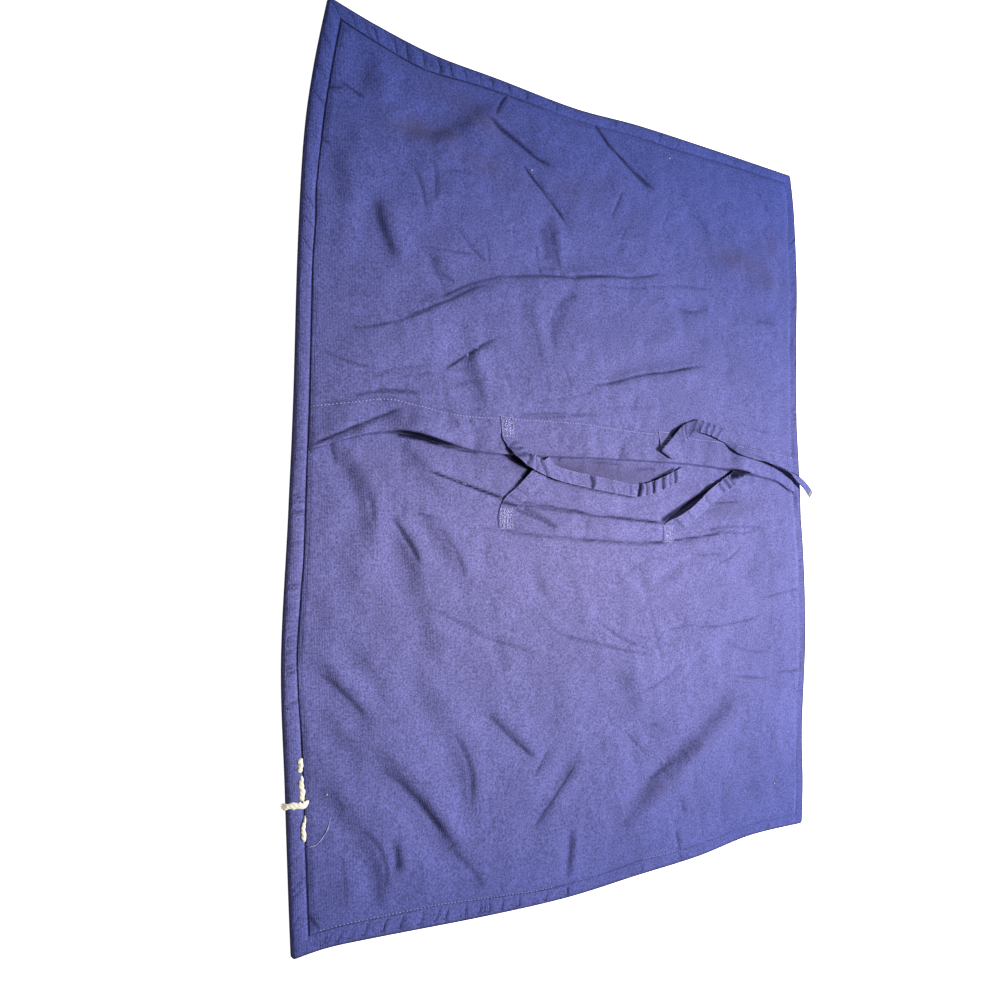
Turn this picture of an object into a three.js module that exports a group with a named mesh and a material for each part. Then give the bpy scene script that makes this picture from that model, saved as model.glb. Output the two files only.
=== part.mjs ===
// An empty pillow sham lying face down, so that its back shows: a lower panel, an upper panel whose
// hemmed edge laps over it, a bound edge all round, and two pairs of ties that hang open.
// Millimetres. +X runs across the sham, +Y along it, +Z up from the surface that it lies on.
import * as THREE from "three";

const { clamp, lerp, smoothstep, degToRad } = THREE.MathUtils;

// Driving dimensions
const SHAM_WIDTH = 508;
const SHAM_LENGTH = 660;
const CLOTH = 1.0;
const FRONT = 3.0;
const CLEARANCE = 0.3;
const PANEL_INSET = 2.5;

const BINDING_WIDTH = 12.5;
const BINDING_ROUND = 1.2;
const MITRE_GAP = 0.25;
const PINCH_END = 14;
const PINCH_RAMP = 8;

const HEM_DEPTH = 28;
const HEM_EXTRA = 0.8;
const HEM_STEP = 8;
const HEM_LIFT_FULL = 4;
const HEM_LIFT_END = 40;
const LOWER_TOP_Y = 104;
const LOWER_FLAT_START = 4;
const LOWER_FLAT_END = 34;
const LAP_RAMP_START = 122;
const LAP_RAMP_END = 150;

const UPPER_SLACK = 1.3;
const LOWER_SLACK = 1.9;
const SLACK_START = 14;
const SLACK_FULL = 42;
const FOLD_FADE = 0.3;

const TIE_WIDTHS = { tie_upper_left: 11.6, tie_lower_left: 13, tie_upper_right: 13, tie_lower_right: 13 };
const TIE_THICK = 1.6;
const TIE_EDGE = 0.85;

// Grid stations of the sheets, as shares of their width and length
const PANEL_COLUMNS = stations([0, 0.072, 3], [0.072, 0.928, 26], [0.928, 1, 3]);
const UPPER_ROWS = stations([0, 0.12, 4], [0.12, 0.9, 13], [0.9, 1, 3]);
const LOWER_ROWS = stations([0, 0.09, 3], [0.09, 0.6, 11], [0.6, 0.81, 10], [0.81, 1, 3]);
const FRONT_COLUMNS = stations([0, 0.044, 2], [0.044, 0.956, 11], [0.956, 1, 2]);
const FRONT_ROWS = stations([0, 0.034, 2], [0.034, 0.966, 13], [0.966, 1, 2]);
const BINDING_STEPS = 22;
const CURVE_SAMPLES = 120;

// The outline as it lies: the corners, and points along each edge between them
const CORNERS = {
  bottomLeft: { x: -249, y: -328 },
  bottomRight: { x: 245.5, y: -324 },
  topLeft: { x: -236, y: 342 },
  topRight: { x: 246.5, y: 328 },
};
const LEFT_EDGE = [
  { x: -251, y: -293 },
  { x: -255, y: -215 },
  { x: -259, y: -130 },
  { x: -256, y: -30 },
  { x: -254, y: 60 },
  { x: -253, y: 150 },
  { x: -250, y: 235 },
  { x: -244, y: 290 },
];
const RIGHT_EDGE = [
  { x: 248, y: -285 },
  { x: 248.5, y: -230 },
  { x: 256, y: -140 },
  { x: 255, y: -55 },
  { x: 249, y: 20 },
  { x: 248.5, y: 110 },
  { x: 253.5, y: 210 },
  { x: 251.5, y: 285 },
];
const BOTTOM_EDGE = [
  { x: -190, y: -327.5 },
  { x: -105, y: -332 },
  { x: -30, y: -334.5 },
  { x: 40, y: -332 },
  { x: 110, y: -329.5 },
  { x: 175, y: -323 },
];
const TOP_EDGE = [
  { x: -198, y: 336 },
  { x: -150, y: 328 },
  { x: -95, y: 326 },
  { x: -20, y: 323 },
  { x: 50, y: 327 },
  { x: 140, y: 328 },
];

// The hemmed edge of the upper panel, from the left binding to the right one
const HEM_EDGE = [
  { x: -241, y: 16 },
  { x: -205, y: 28 },
  { x: -175, y: 31 },
  { x: -136, y: 24 },
  { x: -93, y: 20 },
  { x: 0, y: 22 },
  { x: 100, y: 22 },
  { x: 167, y: 17 },
  { x: 212, y: 11 },
  { x: 235, y: 2 },
];

// Places where the hemmed edge stands off the panel below
const HEM_LIFTS = [
  { x: -142, half: 30, rise: 2.2 },
  { x: 166, half: 24, rise: 2.2 },
];

// Folds: a soft ridge, or a trough where rise is negative, along a bowed line. half is the distance
// from the line at which the fold has fallen to about a third
const UPPER_FOLDS = [
  { x1: 2, y1: 316, x2: 66, y2: 268, bow: 3, half: 11, rise: -2.2 },
  { x1: 10, y1: 325, x2: 84, y2: 284, bow: 3, half: 13, rise: 1.6 },
  { x1: -112, y1: 296, x2: -38, y2: 264, bow: -2, half: 11, rise: -2.0 },
  { x1: -86, y1: 300, x2: -28, y2: 282, bow: -2, half: 13, rise: 1.5 },
  { x1: -74, y1: 262, x2: -22, y2: 214, bow: 2, half: 12, rise: -1.6 },
  { x1: -92, y1: 309, x2: -176, y2: 262, bow: -12, half: 17, rise: -1.8 },
  { x1: -70, y1: 300, x2: -150, y2: 238, bow: -10, half: 18, rise: 1.8 },
  { x1: -222, y1: 100, x2: 76, y2: 198, bow: 22, half: 13, rise: -1.8 },
  { x1: -215, y1: 124, x2: 70, y2: 216, bow: 22, half: 14, rise: 1.9 },
  { x1: -146, y1: 80, x2: -88, y2: 116, bow: 2, half: 12, rise: -1.8 },
  { x1: -128, y1: 118, x2: -104, y2: 52, bow: -6, half: 14, rise: -1.5 },
  { x1: -6, y1: 86, x2: 132, y2: 118, bow: 6, half: 13, rise: -1.6 },
  { x1: -8, y1: 106, x2: 134, y2: 138, bow: 6, half: 15, rise: 1.6 },
  { x1: -198, y1: 206, x2: -178, y2: 156, bow: -4, half: 13, rise: -1.6 },
  { x1: -64, y1: 160, x2: -72, y2: 96, bow: 6, half: 13, rise: -1.4 },
  { x1: 150, y1: 250, x2: 222, y2: 214, bow: 4, half: 22, rise: 1.4 },
];
const LOWER_FOLDS = [
  { x1: -92, y1: -20, x2: 84, y2: -33, bow: -3, half: 12, rise: 3.0 },
  { x1: -118, y1: -38, x2: 156, y2: -38, bow: -13, half: 11, rise: -2.0 },
  { x1: -154, y1: 5, x2: -90, y2: -14, bow: 1, half: 11, rise: -1.5 },
  { x1: -246, y1: -128, x2: -184, y2: -212, bow: 4, half: 13, rise: -2.2 },
  { x1: -194, y1: -198, x2: -106, y2: -312, bow: 4, half: 13, rise: -2.6 },
  { x1: -222, y1: -190, x2: -128, y2: -306, bow: 3, half: 15, rise: 2.6 },
  { x1: -176, y1: -132, x2: -108, y2: -270, bow: 12, half: 15, rise: -2.0 },
  { x1: -196, y1: -140, x2: -132, y2: -262, bow: 10, half: 16, rise: 2.0 },
  { x1: -184, y1: -22, x2: -146, y2: -146, bow: -4, half: 15, rise: -1.8 },
  { x1: -230, y1: 22, x2: -198, y2: -56, bow: 6, half: 14, rise: -1.7 },
  { x1: -168, y1: -22, x2: -116, y2: -92, bow: -4, half: 13, rise: -1.6 },
  { x1: -242, y1: -208, x2: -184, y2: -304, bow: 14, half: 13, rise: -2.0 },
  { x1: -116, y1: -168, x2: -58, y2: -222, bow: 2, half: 12, rise: -1.6 },
  { x1: -16, y1: -220, x2: -62, y2: -274, bow: -2, half: 12, rise: -1.5 },
  { x1: 12, y1: -296, x2: 170, y2: -184, bow: 12, half: 17, rise: -2.6 },
  { x1: 34, y1: -312, x2: 184, y2: -206, bow: 10, half: 19, rise: 2.8 },
  { x1: -60, y1: -102, x2: 62, y2: -148, bow: -3, half: 12, rise: -1.4 },
  { x1: -128, y1: -106, x2: -60, y2: -138, bow: -2, half: 12, rise: -1.3 },
];

// The ties, station by station along their middle line. across is the heading of the width, in degrees,
// and lift_a and lift_b raise the edges at its far and near end above the cloth that the station lies on.
// fold is the share of the width that is left where the tie is folded along its length
const TIES = {
  tie_upper_left: [
    { x: -88.5, y: 48, across: 0, lift_a: 0.45, lift_b: 0.45, on: upperTop },
    { x: -88.5, y: 39, across: 0, lift_a: 0.45, lift_b: 0.45, on: upperTop },
    { x: -88, y: 32, across: 6, lift_a: 0.8, lift_b: 1.1, on: upperTop },
    { x: -81.5, y: 24.5, across: 32, lift_a: 1.5, lift_b: 3.1, on: upperTop },
    { x: -73.5, y: 18.5, across: 50, lift_a: 2.4, lift_b: 4.4, on: upperTop },
    { x: -64, y: 14, across: 60, lift_a: 4.2, lift_b: 5.2, on: lowerTop },
    { x: -53, y: 10, across: 66, lift_a: 3.8, lift_b: 4.4, on: lowerTop },
    { x: -39, y: 6.4, across: 72, lift_a: 2.8, lift_b: 3, on: lowerTop },
    { x: -22, y: 3.7, across: 80, lift_a: 1.2, lift_b: 1.4, on: lowerTop },
    { x: 0, y: 0.6, across: 82, lift_a: 0.7, lift_b: 0.8, on: lowerTop },
    { x: 20, y: -2, across: 83, lift_a: 0.7, lift_b: 0.7, on: lowerTop },
    { x: 38, y: -4, across: 88, lift_a: 0.7, lift_b: 0.7, on: lowerTop },
    { x: 50, y: -3, across: 102, lift_a: 0.9, lift_b: 0.7, on: lowerTop },
    { x: 64, y: 1, across: 112, lift_a: 1.2, lift_b: 0.6, on: lowerTop },
    { x: 80, y: 7.5, across: 114, lift_a: 1.5, lift_b: 0.6, on: lowerTop },
    { x: 95, y: 14, across: 114, lift_a: 0.8, lift_b: 0.5, on: lowerTop },
  ],
  tie_lower_left: [
    { x: -88.5, y: -36, across: 180, lift_a: 0.6, lift_b: 0.7, on: lowerTop },
    { x: -88.5, y: -26, across: 178, lift_a: 0.6, lift_b: 0.7, on: lowerTop },
    { x: -84, y: -17.5, across: 146, lift_a: 1.1, lift_b: 1, on: lowerTop },
    { x: -77, y: -12, across: 130, lift_a: 1.2, lift_b: 0.9, on: lowerTop },
    { x: -69, y: -4.5, across: 132, lift_a: 1.1, lift_b: 0.8, on: lowerTop },
    { x: -61.5, y: 3.5, across: 134, lift_a: 0.9, lift_b: 0.6, on: lowerTop },
    { x: -54, y: 9.5, across: 130, lift_a: 0.7, lift_b: 0.5, on: lowerTop },
    { x: -46, y: 13.2, across: 128, lift_a: 0.5, lift_b: 0.5, on: lowerTop },
  ],
  tie_upper_right: [
    { x: 71.5, y: 48.5, across: 0, lift_a: 0.35, lift_b: 0.35, on: upperTop },
    { x: 71.5, y: 40, across: 0, lift_a: 0.3, lift_b: 0.3, on: upperTop },
    { x: 71, y: 33, across: -8, lift_a: 0.4, lift_b: 0.4, on: upperTop },
    { x: 70.4, y: 29.8, across: -24, lift_a: 0.4, lift_b: 0.4, on: upperTop },
    { x: 70, y: 28, across: -30, lift_a: 1.5, lift_b: 1.5, on: upperTop },
    { x: 70.6, y: 29.6, across: -34, lift_a: 2.7, lift_b: 2.7, on: upperTop },
    { x: 75, y: 33.4, across: -44, lift_a: 2.7, lift_b: 2.8, on: upperTop },
    { x: 82.5, y: 39.8, across: -46, lift_a: 1.6, lift_b: 2.6, on: upperTop },
    { x: 90, y: 46.5, across: -52, lift_a: 1, lift_b: 1.8, on: upperTop },
    { x: 96, y: 51, across: -72, lift_a: 2.4, lift_b: 0.8, on: upperTop },
    { x: 102.5, y: 54.8, across: -98, lift_a: 6, lift_b: 0.6, on: upperTop },
    { x: 110.5, y: 57, across: -105, lift_a: 10.5, lift_b: 0.6, on: upperTop },
    { x: 120.5, y: 56, across: -110, lift_a: 8.5, lift_b: 0.6, on: upperTop },
    { x: 131, y: 54.3, across: -116, lift_a: 5.4, lift_b: 0.6, on: upperTop },
    { x: 141, y: 51.3, across: -122, lift_a: 2.4, lift_b: 0.6, on: upperTop },
    { x: 148, y: 47.3, across: -128, lift_a: 2.2, lift_b: 0.6, on: upperTop, fold: 0.85 },
    { x: 152.5, y: 41.3, across: -130, lift_a: 5, lift_b: 0.5, on: upperTop, fold: 0.7 },
    { x: 159.5, y: 36.2, across: -118, lift_a: 7, lift_b: 0.5, on: upperTop, fold: 0.6 },
    { x: 168.5, y: 33.9, across: -103, lift_a: 7.7, lift_b: 0.5, on: upperTop, fold: 0.6 },
    { x: 180.5, y: 32.2, across: -99, lift_a: 7.9, lift_b: 0.5, on: upperTop, fold: 0.6 },
    { x: 199.5, y: 28, across: -107, lift_a: 8, lift_b: 0.5, on: upperTop, fold: 0.6 },
    { x: 222.5, y: 21.2, across: -106, lift_a: 7.8, lift_b: 0.5, on: upperTop, fold: 0.6 },
    { x: 234, y: 17.6, across: -112, lift_a: 5.4, lift_b: 0.8, on: upperTop, fold: 0.6 },
    { x: 242, y: 14, across: -128, lift_a: 2.6, lift_b: 1, on: rimTop, fold: 0.6 },
    { x: 250.5, y: 9, across: -131, lift_a: 1.6, lift_b: 0.8, on: rimTop, fold: 0.6 },
    { x: 262, y: -1, across: -134, lift_a: 0.9, lift_b: 0.5, on: rimTop, fold: 0.6 },
  ],
  tie_lower_right: [
    { x: 77, y: -47.5, across: 180, lift_a: 0.7, lift_b: 0.7, on: lowerTop },
    { x: 77, y: -39.5, across: 178, lift_a: 0.8, lift_b: 0.8, on: lowerTop },
    { x: 79.5, y: -34.8, across: 156, lift_a: 1.1, lift_b: 0.8, on: lowerTop },
    { x: 89.5, y: -31, across: 128, lift_a: 2.5, lift_b: 0.8, on: lowerTop },
    { x: 101, y: -24.6, across: 124, lift_a: 3.6, lift_b: 0.8, on: lowerTop },
    { x: 115, y: -14.8, across: 126, lift_a: 3.6, lift_b: 0.5, on: lowerTop },
    { x: 127.5, y: -5.2, across: 124, lift_a: 3.2, lift_b: 0.5, on: lowerTop },
    { x: 140, y: 2, across: 124, lift_a: 2.6, lift_b: 0.5, on: lowerTop },
    { x: 152, y: 8.8, across: 126, lift_a: 1.4, lift_b: 0.4, on: lowerTop },
    { x: 161, y: 14.8, across: 130, lift_a: 0.5, lift_b: 0.5, on: lowerTop },
    { x: 167, y: 21, across: 132, lift_a: 0.5, lift_b: 0.5, on: lowerTop },
    { x: 172, y: 26.5, across: 132, lift_a: 0.5, lift_b: 0.5, on: lowerTop },
  ],
};

// Colours of the cotton: the body, the shaded binding, the ties
const PANEL_CLOTH = new THREE.MeshStandardMaterial({ color: 0x6e6fb2, roughness: 0.85, metalness: 0 });
const BINDING_CLOTH = new THREE.MeshStandardMaterial({ color: 0x62629c, roughness: 0.85, metalness: 0 });
const TIE_CLOTH = new THREE.MeshStandardMaterial({ color: 0x7a7abc, roughness: 0.85, metalness: 0 });

// Shares from 0 to 1, in stretches of from, to and number of steps
function stations(...stretches) {
  const shares = [stretches[0][0]];
  for (const [from, to, steps] of stretches) {
    for (let step = 1; step <= steps; step += 1) {
      shares.push(lerp(from, to, step / steps));
    }
  }
  return shares;
}

function curveThrough(...rows) {
  return new THREE.SplineCurve(rows.map((row) => new THREE.Vector2(row.x, row.y)));
}

const EDGES = {
  left: curveThrough(CORNERS.bottomLeft, ...LEFT_EDGE, CORNERS.topLeft),
  right: curveThrough(CORNERS.bottomRight, ...RIGHT_EDGE, CORNERS.topRight),
  bottom: curveThrough(CORNERS.bottomLeft, ...BOTTOM_EDGE, CORNERS.bottomRight),
  top: curveThrough(CORNERS.topLeft, ...TOP_EDGE, CORNERS.topRight),
};
const OUTLINE_POINTS = Object.values(EDGES).flatMap((edge) => edge.getSpacedPoints(CURVE_SAMPLES));
const HEM_POINTS = curveThrough(...HEM_EDGE).getSpacedPoints(CURVE_SAMPLES);

// A point of the patch that four boundary curves span; u runs left to right and v bottom to top
function patchPoint(bounds, u, v) {
  const bottom = bounds.bottom(u);
  const top = bounds.top(u);
  const left = bounds.left(v);
  const right = bounds.right(v);
  const lowest = bounds.bottom(0).lerp(bounds.bottom(1), u);
  const highest = bounds.top(0).lerp(bounds.top(1), u);
  const lengthwise = bottom.lerp(top, v);
  const crosswise = left.lerp(right, u);
  return lengthwise.add(crosswise).sub(lowest.lerp(highest, v));
}

// Where a point of the cut sham, measured from its bottom left corner, lies
function lying(fromLeft, fromBottom) {
  const outline = {
    bottom: (u) => EDGES.bottom.getPointAt(u),
    top: (u) => EDGES.top.getPointAt(u),
    left: (v) => EDGES.left.getPointAt(v),
    right: (v) => EDGES.right.getPointAt(v),
  };
  return patchPoint(outline, fromLeft / SHAM_WIDTH, fromBottom / SHAM_LENGTH);
}

function edgeDistance(x, y) {
  const here = new THREE.Vector2(x, y);
  return Math.min(...OUTLINE_POINTS.map((point) => point.distanceTo(here)));
}

// The hem's y at an x, carried on level past its ends
function hemAt(x) {
  const next = HEM_POINTS.findIndex((point) => point.x >= x);
  if (next === 0) {
    return HEM_POINTS[0].y;
  }
  if (next < 0) {
    return HEM_POINTS.at(-1).y;
  }
  const before = HEM_POINTS[next - 1];
  const after = HEM_POINTS[next];
  return lerp(before.y, after.y, (x - before.x) / (after.x - before.x));
}

// Height that one fold adds at a point
function foldHeight(fold, x, y) {
  const start = new THREE.Vector2(fold.x1, fold.y1);
  const along = new THREE.Vector2(fold.x2, fold.y2).sub(start);
  const length = along.length();
  along.normalize();
  const offset = new THREE.Vector2(x, y).sub(start);
  const share = offset.dot(along) / length;
  const bow = 4 * fold.bow * share * (1 - share);
  const aside = along.cross(offset) - bow;
  const fade = smoothstep(share, 0, FOLD_FADE) * (1 - smoothstep(share, 1 - FOLD_FADE, 1));
  return fold.rise * fade * Math.exp(-((aside / fold.half) ** 2));
}

function foldRelief(folds, slack, x, y) {
  const sum = folds.reduce((total, fold) => total + foldHeight(fold, x, y), slack);
  return Math.max(0, sum) * smoothstep(edgeDistance(x, y), SLACK_START, SLACK_FULL);
}

// Under and upper side of each sheet at a point
function frontPanel(x, y) {
  const pinch = 1 - smoothstep(edgeDistance(x, y), PINCH_END, PINCH_END + PINCH_RAMP);
  return { low: (CLOTH + CLEARANCE) * pinch, high: FRONT };
}

function lowerPanel(x, y) {
  const shown = 1 - smoothstep(y - hemAt(x), LOWER_FLAT_START, LOWER_FLAT_END);
  const low = FRONT + CLEARANCE + shown * foldRelief(LOWER_FOLDS, LOWER_SLACK, x, y);
  return { low, high: low + CLOTH };
}

function upperPanel(x, y) {
  const aboveHem = y - hemAt(x);
  const lapped = 1 - smoothstep(y, LAP_RAMP_START, LAP_RAMP_END);
  const support = lerp(FRONT, lowerPanel(x, y).high, lapped);
  const lifts = HEM_LIFTS.map((lift) => lift.rise * Math.exp(-(((x - lift.x) / lift.half) ** 2)));
  const lift = Math.max(...lifts) * (1 - smoothstep(aboveHem, HEM_LIFT_FULL, HEM_LIFT_END));
  const low = support + CLEARANCE + foldRelief(UPPER_FOLDS, UPPER_SLACK, x, y) + lift;
  const hem = HEM_EXTRA * (1 - smoothstep(aboveHem, HEM_DEPTH, HEM_DEPTH + HEM_STEP));
  return { low, high: low + CLOTH + hem };
}

function lowerTop(x, y) {
  return lowerPanel(x, y).high;
}

function upperTop(x, y) {
  return upperPanel(x, y).high;
}

// Top of the binding where it covers the lapped panels
function rimTop() {
  return FRONT + 2 * CLOTH + HEM_EXTRA + 3 * CLEARANCE + CLOTH;
}

// A closed body from corners and triangles of corner numbers
function body(name, corners, triangles, material) {
  const geometry = new THREE.BufferGeometry().setFromPoints(corners);
  geometry.setIndex(triangles);
  geometry.computeVertexNormals();
  const mesh = new THREE.Mesh(geometry, material);
  mesh.name = name;
  return mesh;
}

// A sheet between boundary curves: an upper skin, an under skin and the rim that joins them
function sheet(name, bounds, columns, rows, sides, material) {
  const corners = [];
  const triangles = [];
  const wide = columns.length;
  const number = (column, row, skin) => 2 * (row * wide + column) + skin;
  const quad = (a, b, c, d) => triangles.push(a, b, c, a, c, d);
  for (const v of rows) {
    for (const u of columns) {
      const point = patchPoint(bounds, u, v);
      const { low, high } = sides(point.x, point.y);
      corners.push(new THREE.Vector3(point.x, point.y, low), new THREE.Vector3(point.x, point.y, high));
    }
  }
  const lastColumn = wide - 1;
  const lastRow = rows.length - 1;
  for (let row = 0; row < lastRow; row += 1) {
    for (let column = 0; column < lastColumn; column += 1) {
      const ring = (skin) => [
        number(column, row, skin),
        number(column + 1, row, skin),
        number(column + 1, row + 1, skin),
        number(column, row + 1, skin),
      ];
      quad(...ring(1));
      quad(...ring(0).reverse());
    }
  }
  const rimWall = (c1, r1, c2, r2) =>
    quad(number(c1, r1, 0), number(c2, r2, 0), number(c2, r2, 1), number(c1, r1, 1));
  for (let column = 0; column < lastColumn; column += 1) {
    rimWall(column, 0, column + 1, 0);
    rimWall(column + 1, lastRow, column, lastRow);
  }
  for (let row = 0; row < lastRow; row += 1) {
    rimWall(lastColumn, row, lastColumn, row + 1);
    rimWall(0, row + 1, 0, row);
  }
  return body(name, corners, triangles, material);
}

// A closed loft through sections of equal corner count, with capped ends. shape gives the section's
// corners in a plane, for the caps, counter-clockwise as seen against the direction of the loft
function loft(name, sections, shape, material) {
  const corners = sections.flat();
  const triangles = [];
  const count = shape.length;
  for (let step = 0; step < sections.length - 1; step += 1) {
    for (let side = 0; side < count; side += 1) {
      const here = step * count + side;
      const beside = step * count + ((side + 1) % count);
      triangles.push(here, beside, beside + count, here, beside + count, here + count);
    }
  }
  const end = (sections.length - 1) * count;
  for (const [a, b, c] of THREE.ShapeUtils.triangulateShape(shape, [])) {
    triangles.push(c, b, a, end + a, end + b, end + c);
  }
  return body(name, corners, triangles, material);
}

// The three panels
function panelBounds(lowest, highest) {
  const farLeft = PANEL_INSET;
  const farRight = SHAM_WIDTH - PANEL_INSET;
  return {
    bottom: (u) => lying(lerp(farLeft, farRight, u), lowest),
    top: (u) => lying(lerp(farLeft, farRight, u), highest),
    left: (v) => lying(farLeft, lerp(lowest, highest, v)),
    right: (v) => lying(farRight, lerp(lowest, highest, v)),
  };
}

function panels() {
  const lowest = PANEL_INSET;
  const highest = SHAM_LENGTH - PANEL_INSET;
  const middleLine = SHAM_LENGTH / 2;
  const lowerHighest = middleLine + LOWER_TOP_Y;
  const whole = panelBounds(lowest, highest);
  const lower = panelBounds(lowest, lowerHighest);
  const hemLeft = middleLine + HEM_EDGE[0].y;
  const hemRight = middleLine + HEM_EDGE.at(-1).y;
  const sideStart = { left: lying(PANEL_INSET, hemLeft), right: lying(SHAM_WIDTH - PANEL_INSET, hemRight) };
  const hemLine = curveThrough(sideStart.left, ...HEM_EDGE, sideStart.right);
  const upper = {
    bottom: (u) => hemLine.getPointAt(u),
    top: whole.top,
    left: (v) => lying(PANEL_INSET, lerp(hemLeft, highest, v)),
    right: (v) => lying(SHAM_WIDTH - PANEL_INSET, lerp(hemRight, highest, v)),
  };
  return [
    sheet("front_panel", whole, FRONT_COLUMNS, FRONT_ROWS, frontPanel, PANEL_CLOTH),
    sheet("back_lower_panel", lower, PANEL_COLUMNS, LOWER_ROWS, lowerPanel, PANEL_CLOTH),
    sheet("back_upper_panel", upper, PANEL_COLUMNS, UPPER_ROWS, upperPanel, PANEL_CLOTH),
  ];
}

// The binding: one folded strip along each edge, mitred at the corners
function bindingSection(top) {
  const under = top - CLOTH;
  return [
    { inset: BINDING_WIDTH, z: 0 },
    { inset: BINDING_WIDTH, z: CLOTH },
    { inset: CLOTH, z: CLOTH },
    { inset: CLOTH, z: under },
    { inset: BINDING_WIDTH, z: under },
    { inset: BINDING_WIDTH, z: top },
    { inset: BINDING_ROUND, z: top },
    { inset: 0, z: top - BINDING_ROUND },
    { inset: 0, z: BINDING_ROUND },
    { inset: BINDING_ROUND, z: 0 },
  ];
}

// Top of the cloth that the binding covers, over the stretch from one section to the next on both sides
function coveredTop(place, length, along, reach) {
  const heights = [-1, -0.5, 0, 0.5, 1].map((share) => {
    const { x, y } = place(BINDING_WIDTH / 2, clamp(along + share * reach, 0, length));
    return y > hemAt(x) - CLEARANCE ? upperTop(x, y) : lowerTop(x, y);
  });
  return Math.max(...heights);
}

function binding(name, length, place) {
  const sections = [];
  for (let step = 0; step <= BINDING_STEPS; step += 1) {
    const share = step / BINDING_STEPS;
    const outer = place(0, lerp(MITRE_GAP, length - MITRE_GAP, share));
    const innerStart = BINDING_WIDTH + MITRE_GAP;
    const inner = place(BINDING_WIDTH, lerp(innerStart, length - innerStart, share));
    const top = coveredTop(place, length, share * length, length / BINDING_STEPS) + CLEARANCE + CLOTH;
    sections.push(bindingSection(top).map(({ inset, z }) => {
      const point = outer.clone().lerp(inner, inset / BINDING_WIDTH);
      return new THREE.Vector3(point.x, point.y, z);
    }));
  }
  const shape = bindingSection(FRONT + 2 * CLOTH).map(({ inset, z }) => new THREE.Vector2(inset, z));
  return loft(name, sections, shape, BINDING_CLOTH);
}

function bindings() {
  return [
    binding("binding_left", SHAM_LENGTH, (inset, along) => lying(inset, SHAM_LENGTH - along)),
    binding("binding_right", SHAM_LENGTH, (inset, along) => lying(SHAM_WIDTH - inset, along)),
    binding("binding_top", SHAM_WIDTH, (inset, along) => lying(SHAM_WIDTH - along, SHAM_LENGTH - inset)),
    binding("binding_bottom", SHAM_WIDTH, (inset, along) => lying(along, inset)),
  ];
}

// The ties: a flat strip of doubled cloth with thin edges, carried along its stations
function tieSection(width) {
  const far = width / 2;
  const flat = far - TIE_EDGE;
  return [
    { side: far, rise: 0 },
    { side: flat, rise: TIE_THICK / 2 },
    { side: -flat, rise: TIE_THICK / 2 },
    { side: -far, rise: 0 },
    { side: -flat, rise: -TIE_THICK / 2 },
    { side: flat, rise: -TIE_THICK / 2 },
  ];
}

function tie(name, rows) {
  const places = rows.map((row) => {
    const width = TIE_WIDTHS[name] * (row.fold ?? 1);
    const rest = row.on(row.x, row.y) + TIE_THICK / 2;
    const tilt = Math.asin((row.lift_a - row.lift_b) / width);
    const heading = degToRad(row.across);
    const flat = Math.cos(tilt);
    return {
      width,
      middle: new THREE.Vector3(row.x, row.y, rest + (row.lift_a + row.lift_b) / 2),
      across: new THREE.Vector3(flat * Math.cos(heading), flat * Math.sin(heading), Math.sin(tilt)),
    };
  });
  const sections = places.map(({ width, middle, across }, step) => {
    const before = places[Math.max(0, step - 1)].middle;
    const after = places[Math.min(places.length - 1, step + 1)].middle;
    const direction = after.clone().sub(before).normalize();
    const normal = direction.cross(across).normalize();
    return tieSection(width).map(({ side, rise }) =>
      middle.clone().addScaledVector(across, side).addScaledVector(normal, rise));
  });
  const shape = tieSection(TIE_WIDTHS[name]).map(({ side, rise }) => new THREE.Vector2(side, rise));
  return loft(name, sections, shape, TIE_CLOTH);
}

const sham = new THREE.Group();
sham.add(...panels());
sham.add(...bindings());
for (const [name, rows] of Object.entries(TIES)) {
  sham.add(tie(name, rows));
}

export default sham;
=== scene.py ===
"""An empty pillow sham lying face down, so that its back shows: a lower panel, a hemmed upper panel that
laps over it, a bound edge all round, four cloth ties that hang open, and the sewing that holds them."""
import math
from collections import namedtuple

import bpy
import numpy as np
from bpy.props import FloatProperty, FloatVectorProperty, IntProperty, PointerProperty
from mathutils import Matrix, Vector


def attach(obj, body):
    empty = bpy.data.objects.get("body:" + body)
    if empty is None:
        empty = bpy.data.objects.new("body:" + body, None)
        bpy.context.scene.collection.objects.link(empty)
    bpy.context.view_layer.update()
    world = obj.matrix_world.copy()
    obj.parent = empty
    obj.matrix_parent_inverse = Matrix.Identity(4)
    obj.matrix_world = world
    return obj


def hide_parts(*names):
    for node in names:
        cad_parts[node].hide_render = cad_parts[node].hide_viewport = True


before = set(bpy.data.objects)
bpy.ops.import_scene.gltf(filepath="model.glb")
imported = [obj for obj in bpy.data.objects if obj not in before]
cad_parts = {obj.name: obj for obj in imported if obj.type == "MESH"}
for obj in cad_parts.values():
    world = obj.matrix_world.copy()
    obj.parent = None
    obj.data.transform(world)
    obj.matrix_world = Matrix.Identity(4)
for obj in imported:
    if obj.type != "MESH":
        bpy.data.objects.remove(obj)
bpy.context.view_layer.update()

bl_info = {
    "name": "Pillow Sham",
    "version": (1, 0, 0),
    "blender": (4, 5, 0),
    "location": "View3D > Sidebar > Pillow Sham",
    "description": "Builds the back of an empty pillow sham with its binding, ties and sewing",
    "category": "Add Mesh",
}

BODY = "root"
MM = 0.001


def table(kind, rows):
    """Rows of values as rows with named columns."""
    return [kind(*row) for row in rows]


# The cut sham and the levels of its layers, in millimetres
SHAM_WIDTH = 508
SHAM_LENGTH = 660
FRONT = 3.0
CLEARANCE = 0.3
PANEL_INSET = 2.5
LOWER_TOP_Y = 104
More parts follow.
